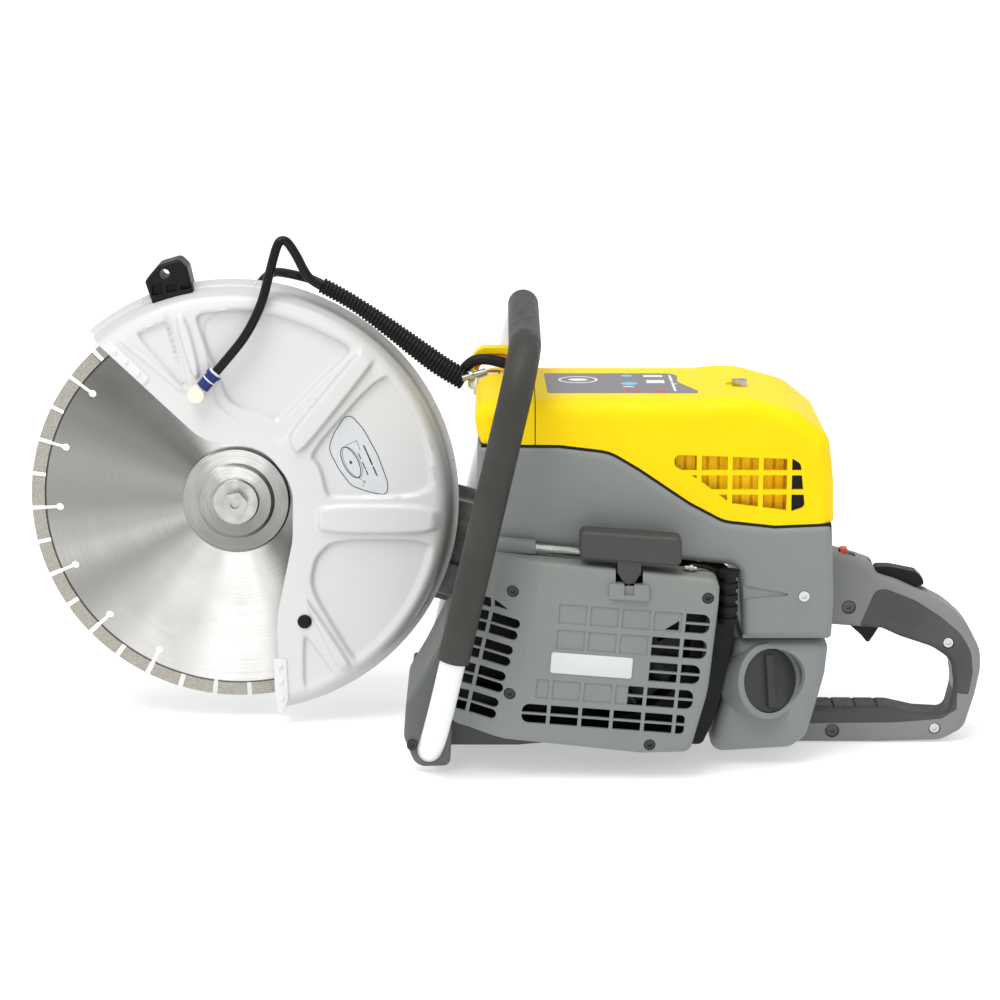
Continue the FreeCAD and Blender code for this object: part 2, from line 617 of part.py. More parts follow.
def on_crown(centre):
    """True for the hood's front, top and rear edges, not for the edge that meets the housing."""
    return centre.z > 80 or centre.x > 486


def hood_shell():
    outer = eased(prism(HOOD_SIDE, HOOD_L, HOOD_R), 14, HOOD_L, HOOD_R, where=on_crown)
    inner = eased(prism(HOOD_INSIDE, HOOD_L + 3, HOOD_R - 3), 11, HOOD_L + 3, HOOD_R - 3, where=on_crown)
    return outer.cut(inner)


def hood_front():
    """Front piece of the hood, with the arched guide that the water hoses pass under."""
    front = hood_shell().common(box(190, HOOD_SPLIT_X - 0.4, -100, 90, 0, 130))
    front = front.cut(Part.makeCylinder(12, 30, V(195, COUPLING_Y, COUPLING_Z), V(1, 0, 0)))
    arch = [(198, 96, 3), (198, 118, 12), (208, 131, 12), (232, 131, 12), (253, 115, 2),
            (253, 112), (249, 113, 2), (229, 126, 9), (212, 126, 9), (203.5, 116, 8), (206, 96, 1)]
    return fuse([front, prism(arch, 53, 67, 1)])


VENT_SIDE = [(366, 69.5, 7), (462, 66, 5), (468, 62, 6), (472, 26, 4), (462, 22.5, 4), (412, 29, 6),
             (384, 50, 6), (366, 60, 5)]


def top_cover():
    cover = hood_shell().common(box(HOOD_SPLIT_X + 0.4, 520, -100, 90, 0, 130))
    region = prism(VENT_SIDE, HOOD_L - 2, HOOD_L + 4)
    bars_x = [(384, 388), (409, 413), (434, 438), (457, 461)]
    bars_z = [(52.5, 56.5), (36.5, 40.5)]
    bars = [box(a, b, HOOD_L - 3, HOOD_L + 5, 0, 90) for a, b in bars_x]
    bars += [box(350, 480, HOOD_L - 3, HOOD_L + 5, a, b) for a, b in bars_z]
    window = region.cut(Part.makeCompound(bars))
    well = Part.makeCylinder(11, 2.2, SCREW_PLACE, Z_AXIS)
    hole = Part.makeCylinder(3.2, 20, SCREW_PLACE - V(0, 0, 10), Z_AXIS)
    return cover.cut(window).cut(well).cut(hole)


def cover_screw():
    """Captive screw in the well on the cover's hump."""
    x, y, z = SCREW_PLACE
    head = Part.makeCylinder(6.5, 5.5, V(x, y, z), Z_AXIS)
    slot = box(x - 7, x + 7, y - 0.9, y + 0.9, z + 3.6, z + 6)
    return fuse([head.cut(slot), Part.makeCylinder(3, 30, V(x, y, z - 29), Z_AXIS)])


# ---- starter side ----
STARTER_SIDE = [(207, -11, 6), (222, -7), (402, -26, 9), (401.5, -45, 60), (394, -120, 120),
                (380, -172, 8), (340, -173), (230, -161, 6), (188, -150, 8), (176, -131, 10), (200, -40, 20)]


def starter_shell():
    """Outer form of the starter cover: a proud face and a front facet that falls back."""
    block = eased(prism(STARTER_SIDE, STARTER_FACE, STARTER_BACK, 3), 5, STARTER_FACE)
    slope = Part.Face(Part.makePolygon([V(262, STARTER_FACE, 0), V(160, STARTER_FACE, 0),
                                        V(160, -96, 0), V(228, -104, 0), V(262, STARTER_FACE, 0)]))
    wedge = slope.extrude(V(0, 0, -200))
    wedge.translate(V(0, 0, 10))
    lean = FreeCAD.Matrix()
    lean.A13 = 0.19
    return block, wedge.transformGeometry(lean)


GRILLE_COLUMNS = [243.0 + 25.6 * i for i in range(7)]
GRILLE_ROWS = [(-66.5, 268.6, 371.0, 392.0), (-88.0, 268.6, 345.4, 391.5), (-109.5, 338.0, 338.0, 388.0),
               (-131.0, 257.0, 331.5, 384.5), (-152.5, 247.0, 247.0, 379.5)]
ROW_HEIGHT = 16.3
POST = 3.0                  # width of the bars between the grille's columns


def grille_cells():
    """Cells of the tilted grille before the tilt: (left, right, low, high, is open, left and right corner radius).

    Each row has its foot, the start of its closed panels, the start of its open slots and its right end."""
    cells = []
    for z, closed_from, open_from, end in GRILLE_ROWS:
        for start, stop in zip(GRILLE_COLUMNS[:-1], GRILLE_COLUMNS[1:]):
            for low_x, high_x, is_open in ((max(start, closed_from), min(stop, open_from), False),
                                           (max(start, open_from), min(stop, end), True)):
                if high_x - low_x < 8:
                    continue
                left = low_x + (POST / 2 if low_x == start else 0)
                right = high_x - (POST / 2 if high_x == stop else 0)
                left_r = 6 if is_open and low_x == open_from and closed_from == open_from else 0.8
                right_r = 6 if is_open and high_x == end else 0.8
                cells.append((left, right, z + 1, z + 1 + ROW_HEIGHT, is_open, left_r, right_r))
    return cells


def starter_cover():
    """Light-alloy look starter cover with its grille and rope guide."""
    block, wedge = starter_shell()
    inner = prism([(203, -16), (397, -33), (396, -46), (389, -119), (377, -167), (341, -168),
                   (231, -156), (190, -145), (181, -131), (204, -42)], STARTER_FACE + 3, STARTER_BACK + 1, 3)
    back_wedge = wedge.copy()
    back_wedge.translate(V(0, 3, 0))
    shell = block.cut(wedge).cut(inner.cut(back_wedge))
    cuts = []
    for left, right, low, high, is_open, left_r, right_r in grille_cells():
        depth = STARTER_FACE + (6 if is_open else 0.9)
        cell = prism([(left, low, left_r), (right, low, right_r), (right, high, right_r), (left, high, left_r)],
                     -122, depth)
        if is_open:
            middle = (low + high) / 2
            cell = cell.cut(box(left - 1, right + 1, -123, -109, middle - 0.8, middle + 0.8))
        cuts.append(rotated(cell, CRANK_X, CRANK_Z, GRILLE_TILT))
    cuts.append(rotated(prism([(356, -64.5), (367.5, -64.5), (367.5, -56)], -122, -110, 0.5),
                        CRANK_X, CRANK_Z, GRILLE_TILT))
    for i in range(4):
        top = -52.0 - 22.4 * i
        x0, x1 = 202.0 - 5.4 * i, 243.0 - 5.8 * i
        for low, high in ((top - 8.2, top), (top - 18.0, top - 9.8)):
            slot = prism([(x0, low), (x1, low, 4), (x1, high, 4), (x0, high)], -122, -88, 1)
            post = box(x0 + 15, x0 + 18, -123, -87, low - 1, high + 1)
            cuts.append(rotated(slot.cut(post), x0, top, -12))
    for side in ([(205, -41), (218, -44), (218, -52), (205, -49)], [(221, -45), (233, -53), (221, -50.5)]):
        cuts.append(prism(side, -122, -88, 0.6))
    notch = prism([(318, 10), (340, 10), (340, -31), (318, -31)], -122, -96, 2)
    cuts.append(notch)
    for x, z, y in starter_screw_places():
        cuts += [cyl_y(x, z, 4.8, -123, y + 5.1), cyl_y(x, z, 2.5, y + 4, -80)]
    guide = prism([(313, -28), (345, -30), (345, -43), (313, -41)], -118.5, -110, 2)
    guide = guide.cut(prism([(325, -20), (333, -20), (333, -38), (325, -38)], -125, -100, 1))
    post = cyl_y(CRANK_X, CRANK_Z, REEL_POST_R, STARTER_FACE + 2, -90.8)
    return fuse([shell.cut(Part.makeCompound(cuts)), guide, post])


def starter_screw_places():
    """x, z and the cover's surface at each screw; two of them sit on the sloping facet."""
    return [(235.5, -37, -109.1), (392.5, -41, STARTER_FACE), (233, -122, -114), (347, -165, STARTER_FACE)]


def housing_screws():
    """Socket screws of the starter cover, the base casting and the upper housing, all facing left."""
    screws = []
    for x, z, y in starter_screw_places():
        head = cyl_y(x, z, 4.2, y + 1, y + 5).cut(hex_y(x, z, 4, y, y + 3))
        screws.append(fuse([head, cyl_y(x, z, 2.4, y + 4, STARTER_BACK - 0.5)]))
    for x, z, y in ((BASE_BOLT[0], BASE_BOLT[1], -94), (473, -48, HOUSING_L + 1.8)):
        head = cyl_y(x, z, 4.4, y - 2.5, y).cut(hex_y(x, z, 4, y - 4, y - 1))
        screws.append(fuse([head, cyl_y(x, z, 2.4, y - 1, y + 1.1)]))
    return Part.makeCompound(screws)


def fan_housing():
    """Black volute round the flywheel, between the starter cover and the crankcase."""
    x, z = CRANK_X, CRANK_Z
    side = [(210, -20), (222, -17), (414, -30, 8), (417, -80, 20), (403, -150, 20), (392, -175, 6),
            (340, -176), (230, -163, 4), (193, -150, 6), (184, -132, 8), (206, -44, 10)]
    plate = prism(side, STARTER_BACK + 0.2, -49, 3)
    cuts = [cyl_y(x, z, 63, -90, -53), cyl_y(x, z, 24, -60, -40)]
    opening = prism([(220, -40), (250, -40), (250, -140), (205, -130)], -90, -53, 6)
    return plate.cut(Part.makeCompound(cuts + [opening])).cut(along_filler(FILLER_BOSS_R + 1.5, -30, 10))


ROPE_X, ROPE_Y = 329.0, -106.5


def starter_grip():
    """T-shaped pull grip lying along the top of the starter cover, with its rope bush."""
    bar = prism([(289, -8, 5), (289, 15, 5), (371, 9, 5), (371, -15, 5)], -117, -95)
    bar = eased(bar, 4, -117, -95)
    stem = prism([(319.5, -2), (338.5, -3), (338.5, -20, 6), (333, -29, 3), (325, -29, 3), (319.5, -20, 6)],
                 -115, -98)
    dent = Part.makeCylinder(14, 40, V(325, -106, 27), Y_AXIS)
    dent.translate(V(0, -20, 0))
    return fuse([bar, stem]).cut(dent)


# ---- tank and rear handle ----
TANK_SIDE = [(417, -87.5, 6), (496, -86.5, 10), (493, -118), (487, -142, 60), (479, -172, 14),
             (466, -182, 14), (397, -186, 10), (404, -154), (411, -127)]
TANK_L, TANK_R = -80.0, 66.0
CAP_PLUG_R = 19.6
FILLER_BOSS_R = 31.5
FILLER = V(444, -78, -122)
FILLER_AXIS = V(0.50, -0.84, 0.20)


def along_filler(r, low, high):
    """Cylinder on the filler's axis, from low to high along it."""
    way = V(FILLER_AXIS)
    way.normalize()
    return Part.makeCylinder(r, high - low, FILLER + way * low, way)


def tank_body():
    return eased(prism(TANK_SIDE, TANK_L, TANK_R, 8), 12, TANK_L, TANK_R)


def fuel_tank():
    outer = tank_body()
    inner = prism([(421, -92), (491, -91), (488, -119), (482, -143), (475, -169), (464, -177),
                   (403, -181), (409, -154), (416, -127)], TANK_L + 4, TANK_R - 4, 8)
    inner = eased(inner, 8, TANK_L + 4, TANK_R - 4)
    boss = along_filler(FILLER_BOSS_R, -22, 7).common(box(380, 540, -140, 0, -200, -60))
    mouth = along_filler(26.5, -1, 20)
    neck = along_filler(CAP_PLUG_R + RUN, -50, 20)
    whole = fuse([outer, boss.makeChamfer(1.2, [e for e in boss.Edges if e.Length > 190][:1])])
    return whole.cut(inner.cut(along_filler(33, -30, 10))).cut(mouth).cut(neck)


def fuel_cap():
    """Quarter-turn cap with a raised bar across it."""
    head = along_filler(25.8, 0, 5.5)
    plug = along_filler(CAP_PLUG_R, -12, 0.5)
    way = V(FILLER_AXIS)
    way.normalize()
    bar = Part.makeBox(8, 44, 3.6, V(-4, -22, 5.2))
    bar = bar.makeFillet(1.4, bar.Edges)
    bar.Placement = FreeCAD.Placement(FILLER, FreeCAD.Rotation(Z_AXIS, way))
    bar.rotate(FILLER, way, 28)
    return fuse([head, plug, bar])


HANDLE_OUTER = [(470, -30), (500, -29, 4), (526, -36.5, 20), (538, -41, 6), (541, -49, 8), (557, -54, 40),
                (582, -65.5, 60), (600, -75, 60), (618, -91, 50), (631, -116, 50), (631.5, -133, 40),
                (627.5, -155, 60), (619, -185, 16), (600, -195.5, 22), (548, -197), (475, -197)]
HANDLE_INNER = [(470, -165), (554, -165.5, 30), (578, -171, 20), (604, -172.5, 8), (609.5, -147, 40),
                (606, -124, 16), (590, -113, 30), (562, -103.5, 30), (547, -96.5, 8), (508, -93.5), (470, -93)]


def handle_form():
    side = corners(HANDLE_OUTER, 3) + [(475, -180, 2)] + corners(HANDLE_INNER, 3) + [(475, -60, 2)]
    form = prism(side, -HANDLE_HALF, HANDLE_HALF)
    form = eased(form, 6.5, -HANDLE_HALF, HANDLE_HALF)
    keep_out = prism([(300, 100), (498.2, 100), (498.2, -52), (496.7, -85.5), (300, -85.5)], -40, 40)
    return form.cut(Part.makeCompound([tank_body(), keep_out]))


def trigger_pocket():
    """Room inside the grip for the trigger, the lock lever and their pivots."""
    upper = prism([(509, -62), (540, -64), (560, -80), (560, -112), (509, -112)], -6.5, 6.5, 3)
    lever = prism([(535.5, -30), (586, -30), (586, -68), (560, -68), (535.5, -63)], -7.5, 7.5, 1)
    return upper.fuse(lever)


INLAY_SIDE = [(528, -92), (540, -62, 8), (549, -61, 8), (574, -71, 40), (596, -85.5, 40), (613, -100, 30),
              (622.5, -116, 30), (624.5, -134, 30), (621.5, -154, 2), (600, -151, 2), (590, -125), (548, -110)]
PAD_SIDE = [(480, -150), (612, -150), (612, -167), (600, -175.5, 6), (560, -178.5), (480, -179.3)]


def inlay_region(y0, y1):
    return prism(INLAY_SIDE, y0, y1, 2)


def rear_handle(side):
    """One half shell of the rear handle: side -1 is the left, +1 the right."""
    y0, y1 = (-40, -0.05) if side < 0 else (0.05, 40)
    half = handle_form().common(box(400, 700, y0, y1, -250, 0))
    cuts = [trigger_pocket(), inlay_region(-30, -11), inlay_region(11, 30), prism(PAD_SIDE, -30, 30, 1)]
    cuts += [cyl_y(x, z, r, -30, -13.4) for x, z, r, deep in handle_screw_places()]
    cuts += [cyl_y(x, z, 2.2, -30, deep + 1) for x, z, r, deep in handle_screw_places()]
    cuts += [cyl_y(x, z, PIVOT_R, -9, 9) for x, z in (TRIGGER_PIVOT, LOCK_PIVOT)]
    slot = prism([(510, -30), (524, -30), (524, -41), (510, -41)], -5.5, 5.5)
    return half.cut(Part.makeCompound(cuts)).cut(slot)


def grip_pads():
    """Rubber inlays of the grip's two sides and the pad along the handle's lower bar."""
    form = handle_form().cut(trigger_pocket())
    screw_x, screw_z, screw_r, _ = handle_screw_places()[0]
    left = form.common(inlay_region(-30, -11)).cut(cyl_y(screw_x, screw_z, screw_r, -30, 0))
    right = form.common(inlay_region(11, 30))
    pad = handle_form().common(prism(PAD_SIDE, -30, 30, 1))
    notches = [box(506 + 18.5 * i, 509 + 18.5 * i, -20, 20, -167, -150) for i in range(5)]
    return Part.makeCompound([left, right, pad.cut(Part.makeCompound(notches))])


def handle_screw_places():
    """x, z, counterbore radius and how far the shank reaches."""
    return [(603, -108.5, 5.0, 10), (594, -184, 5.0, 10), (507, -186, 6.0, 10), (*TRIGGER_PIVOT, 6.0, -11)]


def handle_screws():
    screws = []
    for x, z, r, deep in handle_screw_places():
        head = cyl_y(x, z, r - 0.8, -15.6, -13.4).cut(hex_y(x, z, 4, -17, -14.4))
        screws.append(fuse([head, cyl_y(x, z, 2.1, -13.6, deep)]))
    return Part.makeCompound(screws)


TRIGGER_PIVOT = (518.0, -77.0)
LOCK_PIVOT = (545.0, -56.0)


def throttle_trigger():
    px, pz = TRIGGER_PIVOT
    finger = prism([(515, -72, 4), (533, -76, 4), (547, -88, 3), (547, -95, 2), (541, -105, 3),
                    (536.5, -112, 2), (530, -104, 8), (521, -96, 10), (515, -92, 3)],
                   -TRIGGER_HALF, TRIGGER_HALF)
    pin = cyl_y(px, pz, PIVOT_R - RUN, -8.5, 8.5)
    return fuse([finger, pin])


def throttle_lock():
    px, pz = LOCK_PIVOT
    lever = prism([(539.5, -50, 3), (540.5, -44.5, 3), (553, -44.5, 20), (575, -49, 6), (581, -55, 4),
                   (582, -60, 2), (573, -63, 3), (552, -61, 4), (541, -60, 3)], -6.5, 6.5)
    pin = cyl_y(px, pz, PIVOT_R - RUN, -8.8, 8.8)
    return fuse([lever, pin])


def stop_switch():
    """Sliding stop switch in the neck of the handle."""
    return prism([(511, -29.5, 1.5), (517.5, -29.5, 1.5), (517.5, -40), (511, -40)], -5, 5)


def isolators():
    """Ribbed rubber mounts between the engine and the tank and handle unit."""
    mounts = []
    for y in (-25, 42):
        sections = [Part.makeCylinder(r, 5.5, V(378.2 + 5.2 * i, y, -140), V(1, 0, 0))
                    for i, r in enumerate((10, 7.5, 10, 7.5, 10))]
        mounts.append(fuse(sections))
    ribs = [Part.makeCylinder(8.2 if i % 2 == 0 else 6.4, 5.0, V(410.2, -93, -68 + 4.9 * i), Z_AXIS)
            for i in range(9)]
    mounts.append(fuse(ribs))
    return Part.makeCompound(mounts)


# ---- guard ----
GUARD_EDGE = [(-230, 230), (-108, 136, 5), (-24, 55, 45), (24, 52, 42), (50, 18, 40), (49, -30, 60),
              (34, -100, 120), (35, -230), (-230, -230)]


def guard_cut(y0, y1):
    """Everything in front of the guard's open edge."""
    return prism(GUARD_EDGE, y0, y1, 1)


def guard_left():
    face, seam, s = GUARD_FACE_Y, GUARD_SEAM_Y, SHEET
    profile = [(0, face), (GUARD_FACE_R, face), (GUARD_WALL_R - 1, face + 9), (GUARD_WALL_R, face + 12),
               (GUARD_WALL_R, seam - s), (GUARD_RIM_R, seam - s), (GUARD_RIM_R, seam - 0.05),
               (GUARD_WALL_R - s, seam - 0.05), (GUARD_WALL_R - s, face + 12),
               (GUARD_FACE_R - 1, face + s), (0, face + s)]
    shell = spun(profile).cut(guard_cut(0, 100))
    ribs = [prism([(52, 62), (62, 52), (136, 118), (126, 130)], face - 2.2, face + 0.5, 4),
            prism([(70, -2), (70, -22), (170, -24), (170, -4)], face - 2.2, face + 0.5, 4),
            prism([(-62, 152), (-46, 156), (-34, 130), (-48, 124)], face - 2.2, face + 0.5, 4),
            prism([(54, -76), (66, -76), (112, -138), (98, -148)], face - 2.2, face + 0.5, 4)]
    drain = cyl_y(58, -102, 5, 0, 60)
    nozzle = cyl_y(NOZZLE_X, NOZZLE_Z, 5, 0, 60)
    return fuse([shell] + ribs).cut(drain).cut(nozzle)


def guard_right():
    seam, back, s = GUARD_SEAM_Y, GUARD_BACK_Y, SHEET
    profile = [(COLLAR_R, back - s), (GUARD_FACE_R, back - s), (GUARD_WALL_R - s, back - 10),
               (GUARD_WALL_R - s, seam + 0.05), (GUARD_RIM_R, seam + 0.05), (GUARD_RIM_R, seam + s),
               (GUARD_WALL_R, seam + s), (GUARD_WALL_R, back - 9), (GUARD_FACE_R, back), (COLLAR_R, back)]
    ring = spun(profile)
    around_hub = ring_y(0, 0, 46, COLLAR_R, back - s, back)
    edge = prism([(-230, 230), (-112, 138, 5), (-40, 70, 20), (-40, -70, 20), (30, -110, 40), (31, -230),
                  (-230, -230)], 0, 100)
    nozzle = cyl_y(NOZZLE_X, NOZZLE_Z, 5, 60, 100)
    return fuse([ring.cut(edge), around_hub]).cut(nozzle)


def guard_knob():
    """Black lug on the guard's rim that the hand turns it by."""
    side = [(-66, 171), (-72, 190, 4), (-60, 204, 8), (-43, 209, 5), (-36, 202, 6), (-31, 179, 2)]
    lug = eased(prism(side, 38, 66, 1), 3, 38, 66)
    hole = cyl_y(-55, 196.5, 4.2, 30, 80)
    pockets = [prism([(-66 + 12 * i, 178 + 2.4 * i), (-57 + 12 * i, 180 + 2.4 * i), (-57 + 12 * i, 189),
                      (-66 + 12 * i, 187)], 36, 42, 1) for i in range(3)]
    rim = spun([(0, GUARD_SEAM_Y - 14), (GUARD_WALL_R + 0.05, GUARD_SEAM_Y - 14),
                (GUARD_WALL_R + 0.05, GUARD_SEAM_Y - SHEET - 0.05), (GUARD_RIM_R + 0.05, GUARD_SEAM_Y - SHEET - 0.05),
                (GUARD_RIM_R + 0.05, GUARD_SEAM_Y + SHEET + 0.05), (GUARD_WALL_R + 0.05, GUARD_SEAM_Y + SHEET + 0.05),
                (GUARD_WALL_R + 0.05, GUARD_SEAM_Y + 15), (0, GUARD_SEAM_Y + 15)])
    return lug.cut(Part.makeCompound([hole] + pockets)).cut(rim)


NOZZLE_X, NOZZLE_Z = -29.0, 98.0
NOZZLE_RUN = V(0.66, 0, 0.75)
NOZZLE_OUT = 7.2            # from the guard's face to the hose's axis


def water_nozzle(y_guard, outward):
    """Elbow through the guard's face and the coloured coupling that takes the hose."""
    y_head = y_guard + outward * 12
    low, high = sorted((y_guard, y_head))
    post = cyl_y(NOZZLE_X, NOZZLE_Z, 6.8, low, high)
    inner = sorted((y_guard - outward * 5, y_guard + outward))
    stub = cyl_y(NOZZLE_X, NOZZLE_Z, 4.9, inner[0], inner[1])
    start = V(NOZZLE_X, y_guard + outward * NOZZLE_OUT, NOZZLE_Z)
    way = V(NOZZLE_RUN)
    way.normalize()
    elbow = fuse([post, stub, Part.makeCylinder(4.2, 9, start, way)])
    sleeve = Part.makeCylinder(5.6, 13, start + way * 8, way).cut(Part.makeCylinder(4.2, 1, start + way * 8, way))
    collar = Part.makeCylinder(6.6, 3, start + way * 21, way)
    return elbow, fuse([sleeve, collar])


# ---- water line ----
HOSE_R = 3.9
CONDUIT_R = 8.5
CONDUIT_POINTS = [V(195.5, 40, 106), V(178, 40, 116), V(158, 40, 131), V(136, 40, 148), V(115, 40, 163.5),
                  V(95, 40, 177), V(76, 40, 187)]


def beyond(point, way, reach):
    """The point moved by reach along way."""
    step = V(way)
    step.normalize()
    return point + step * reach


def nozzle_end(y, reach):
    """Point on the axis of a nozzle's coupling, reach from the elbow."""
    return beyond(V(NOZZLE_X, y, NOZZLE_Z), NOZZLE_RUN, reach)


def conduit_mouth(y, reach):
    """Point reach beyond the conduit's front end, on a line parallel to its axis."""
    return beyond(V(76, y, 187), CONDUIT_POINTS[-1] - CONDUIT_POINTS[-2], reach)


LEFT_Y = GUARD_FACE_Y - NOZZLE_OUT
RIGHT_Y = GUARD_BACK_Y + NOZZLE_OUT
LEFT_HOSE_POINTS = [nozzle_end(LEFT_Y, 24.1), nozzle_end(LEFT_Y, 42), V(10, 19.5, 149), V(19.5, 21.5, 174),
                    V(27, 26, 197), V(33, 28.5, 212), V(37, 30, 220.5), V(42, 31.5, 225.5),
                    V(48.5, 33, 225.5), V(53, 34.5, 220), V(57, 35.5, 210), V(61.5, 36, 200),
                    conduit_mouth(36, 10), conduit_mouth(36, 0.1)]
RIGHT_HOSE_POINTS = [nozzle_end(RIGHT_Y, 24.1), nozzle_end(RIGHT_Y, 42), V(6, 86.5, 151), V(14, 85.5, 169),
                     V(23, 79, 185), V(34, 67, 194), V(46, 55, 198), V(57, 47, 197.5),
                     conduit_mouth(44, 9), conduit_mouth(44, 0.1)]


def water_coupling():
    """Inlet block at the front of the hood that feeds both hoses."""
    body = Part.makeCylinder(8.5, 18, V(206, COUPLING_Y, COUPLING_Z), V(1, 0, 0))
    ring = Part.makeCylinder(10.5, 3, V(203, COUPLING_Y, COUPLING_Z), V(1, 0, 0))
    tail = Part.makeCylinder(6, 3.5, V(200.2, COUPLING_Y, COUPLING_Z), V(1, 0, 0))
    return fuse([body, ring, tail])


def starter_rope():
    """Short stretch of pull rope between the guide in the starter cover and the grip."""
    return Part.makeCylinder(1.8, 15, V(ROPE_X, ROPE_Y, -44.2), Z_AXIS)


# ---- assembly ----
def build():
    outer_flange, inner_flange = flanges()
    left_elbow, left_coupling = water_nozzle(GUARD_FACE_Y, -1)
    right_elbow, right_coupling = water_nozzle(GUARD_BACK_Y, 1)
    for name, points in (("left hose", LEFT_HOSE_POINTS), ("right hose", RIGHT_HOSE_POINTS),
                         ("conduit", CONDUIT_POINTS)):
        pipe_radii(name, points)
    return {
        "blade_core": blade_core(),
        "blade_segments": blade_segments(),
        "outer_flange": outer_flange,
        "inner_flange": inner_flange,
        "blade_bolt": blade_bolt(),
        "spindle": spindle(),
        "blade_pulley": blade_pulley(),
        "pulley_nut": pulley_nut(),
        "drive_belt": drive_belt(),
        "cutting_arm": cutting_arm(),
        "ball_bearings": ball_bearings(),
        "arm_bolts": arm_bolts(),
        "belt_cover": belt_cover(),
        "clutch_cover": clutch_cover(),
        "belt_tensioner": tensioner(),
        "crankshaft": crankshaft(),
        "flywheel": flywheel(),
        "clutch_shoes": clutch(),
        "clutch_drum": clutch_drum(),
        "starter_reel": starter_reel(),
        "recoil_spring": recoil_spring(),
        "starter_rope": starter_rope(),
        "starter_grip": starter_grip(),
        "starter_cover": starter_cover(),
        "fan_housing": fan_housing(),
        "housing_screws": housing_screws(),
        "crankcase": crankcase(),
        "cylinder": cylinder(),
        "piston": piston(),
        "connecting_rod": connecting_rod(),
        "spark_plug": spark_plug(),
        "muffler": muffler(),
        "carburettor": carburettor(),
        "air_filter": air_filter(),
        "engine_base": engine_base(),
        "isolator_mounts": isolators(),
        "front_hoop": pipe(hoop_points(), TUBE_R, HOOP_BENDS),
        "hoop_sleeve": hoop_sleeve(),
        "upper_housing": upper_housing(),
        "hood_front": hood_front(),
        "top_cover": top_cover(),
        "cover_screw": cover_screw(),
        "fuel_tank": fuel_tank(),
        "fuel_cap": fuel_cap(),
        "rear_handle_left": rear_handle(-1),
        "rear_handle_right": rear_handle(1),
        "grip_pads": grip_pads(),
        "handle_screws": handle_screws(),
        "throttle_trigger": throttle_trigger(),
        "throttle_lock": throttle_lock(),
        "stop_switch": stop_switch(),
        "guard_left_shell": guard_left(),
        "guard_right_shell": guard_right(),
        "guard_knob": guard_knob(),
        "nozzle_elbows": Part.makeCompound([left_elbow, right_elbow]),
        "nozzle_couplings": Part.makeCompound([left_coupling, right_coupling]),
        "water_coupling": water_coupling(),
        "hose_conduit": pipe(CONDUIT_POINTS, CONDUIT_R),
        "water_hose_left": pipe(LEFT_HOSE_POINTS, HOSE_R),
        "water_hose_right": pipe(RIGHT_HOSE_POINTS, HOSE_R),
    }


def place(shape):
    moved = shape.copy()
    moved.translate(V(SPINDLE_X, 0, SPINDLE_Z))
    return moved


def main():
    os.makedirs("parts", exist_ok=True)
    low, high = V(1e9, 1e9, 1e9), V(-1e9, -1e9, -1e9)
    for name, shape in build().items():
        placed = place(shape)
        if not placed.isValid() or placed.Volume <= 0:
            print("INVALID", name, placed.Volume)
        placed.exportStep(f"parts/{name}.step")
        b = placed.BoundBox
        low = V(min(low.x, b.XMin), min(low.y, b.YMin), min(low.z, b.ZMin))
        high = V(max(high.x, b.XMax), max(high.y, b.YMax), max(high.z, b.ZMax))
        print(f"{name:20s} solids {len(placed.Solids):3d} volume {placed.Volume / 1000:9.2f} cm3")
    print("box", low, high)


main()
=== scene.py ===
"""Petrol cut-off saw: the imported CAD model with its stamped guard, hoses, trims and finishes.

Shapes are written in millimetres about the blade spindle, as in the CAD source: +X towards the
rear handle, +Y to the operator's right, +Z up. at() turns them into the frame's metres.
"""
import math

import bmesh
import bpy
import numpy as np
from mathutils import Matrix, Vector
from mathutils.geometry import delaunay_2d_cdt


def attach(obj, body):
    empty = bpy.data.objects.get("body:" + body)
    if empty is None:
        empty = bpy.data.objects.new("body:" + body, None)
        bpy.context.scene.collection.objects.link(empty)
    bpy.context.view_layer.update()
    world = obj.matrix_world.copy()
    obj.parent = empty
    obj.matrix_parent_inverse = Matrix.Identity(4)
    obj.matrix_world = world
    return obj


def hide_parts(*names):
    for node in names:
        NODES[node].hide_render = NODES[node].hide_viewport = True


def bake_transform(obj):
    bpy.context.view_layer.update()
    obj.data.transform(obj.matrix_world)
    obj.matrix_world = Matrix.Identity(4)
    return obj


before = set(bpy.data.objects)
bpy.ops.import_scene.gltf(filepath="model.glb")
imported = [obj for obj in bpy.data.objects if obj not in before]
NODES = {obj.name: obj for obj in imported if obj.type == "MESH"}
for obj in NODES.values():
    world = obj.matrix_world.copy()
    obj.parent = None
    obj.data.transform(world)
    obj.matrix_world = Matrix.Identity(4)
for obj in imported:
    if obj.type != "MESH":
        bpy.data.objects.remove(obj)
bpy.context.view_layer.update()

# ---- driving dimensions, in millimetres ----
SPINDLE_X = -228.2
SPINDLE_Z = 197.0
GUARD_FACE_Y = 26.0
STARTER_FACE = -116.0
GRILLE_TILT = -4.5
CRANK_X, CRANK_Z = 318.0, -88.0
HOOD_TOP = 112.8
HOSE_R = 3.9
SHEET = 1.8                 # thickness of the stamped guard
PRESS_DEPTH = 1.15          # share of its table's depths that the guard is pressed to
PRESS_SLOPE = 0.68          # share of its table's slope widths
GUARD_CUT_X = 35            # the shell's lower end is cut upright here
SHOULDER_R = 173.7          # where the guard's face starts to turn over
SHOULDER_WIDTH = 16.3
MESH_STEP = 1.6             # spacing of the guard's mesh points
NO_ROUNDING = 0.0001        # keeps a finish's wear mask but rounds no edge


def at(x, y, z):
    """Spindle millimetres to a point of the frame, in metres."""
    return Vector(((x + SPINDLE_X) / 1000, y / 1000, (z + SPINDLE_Z) / 1000))


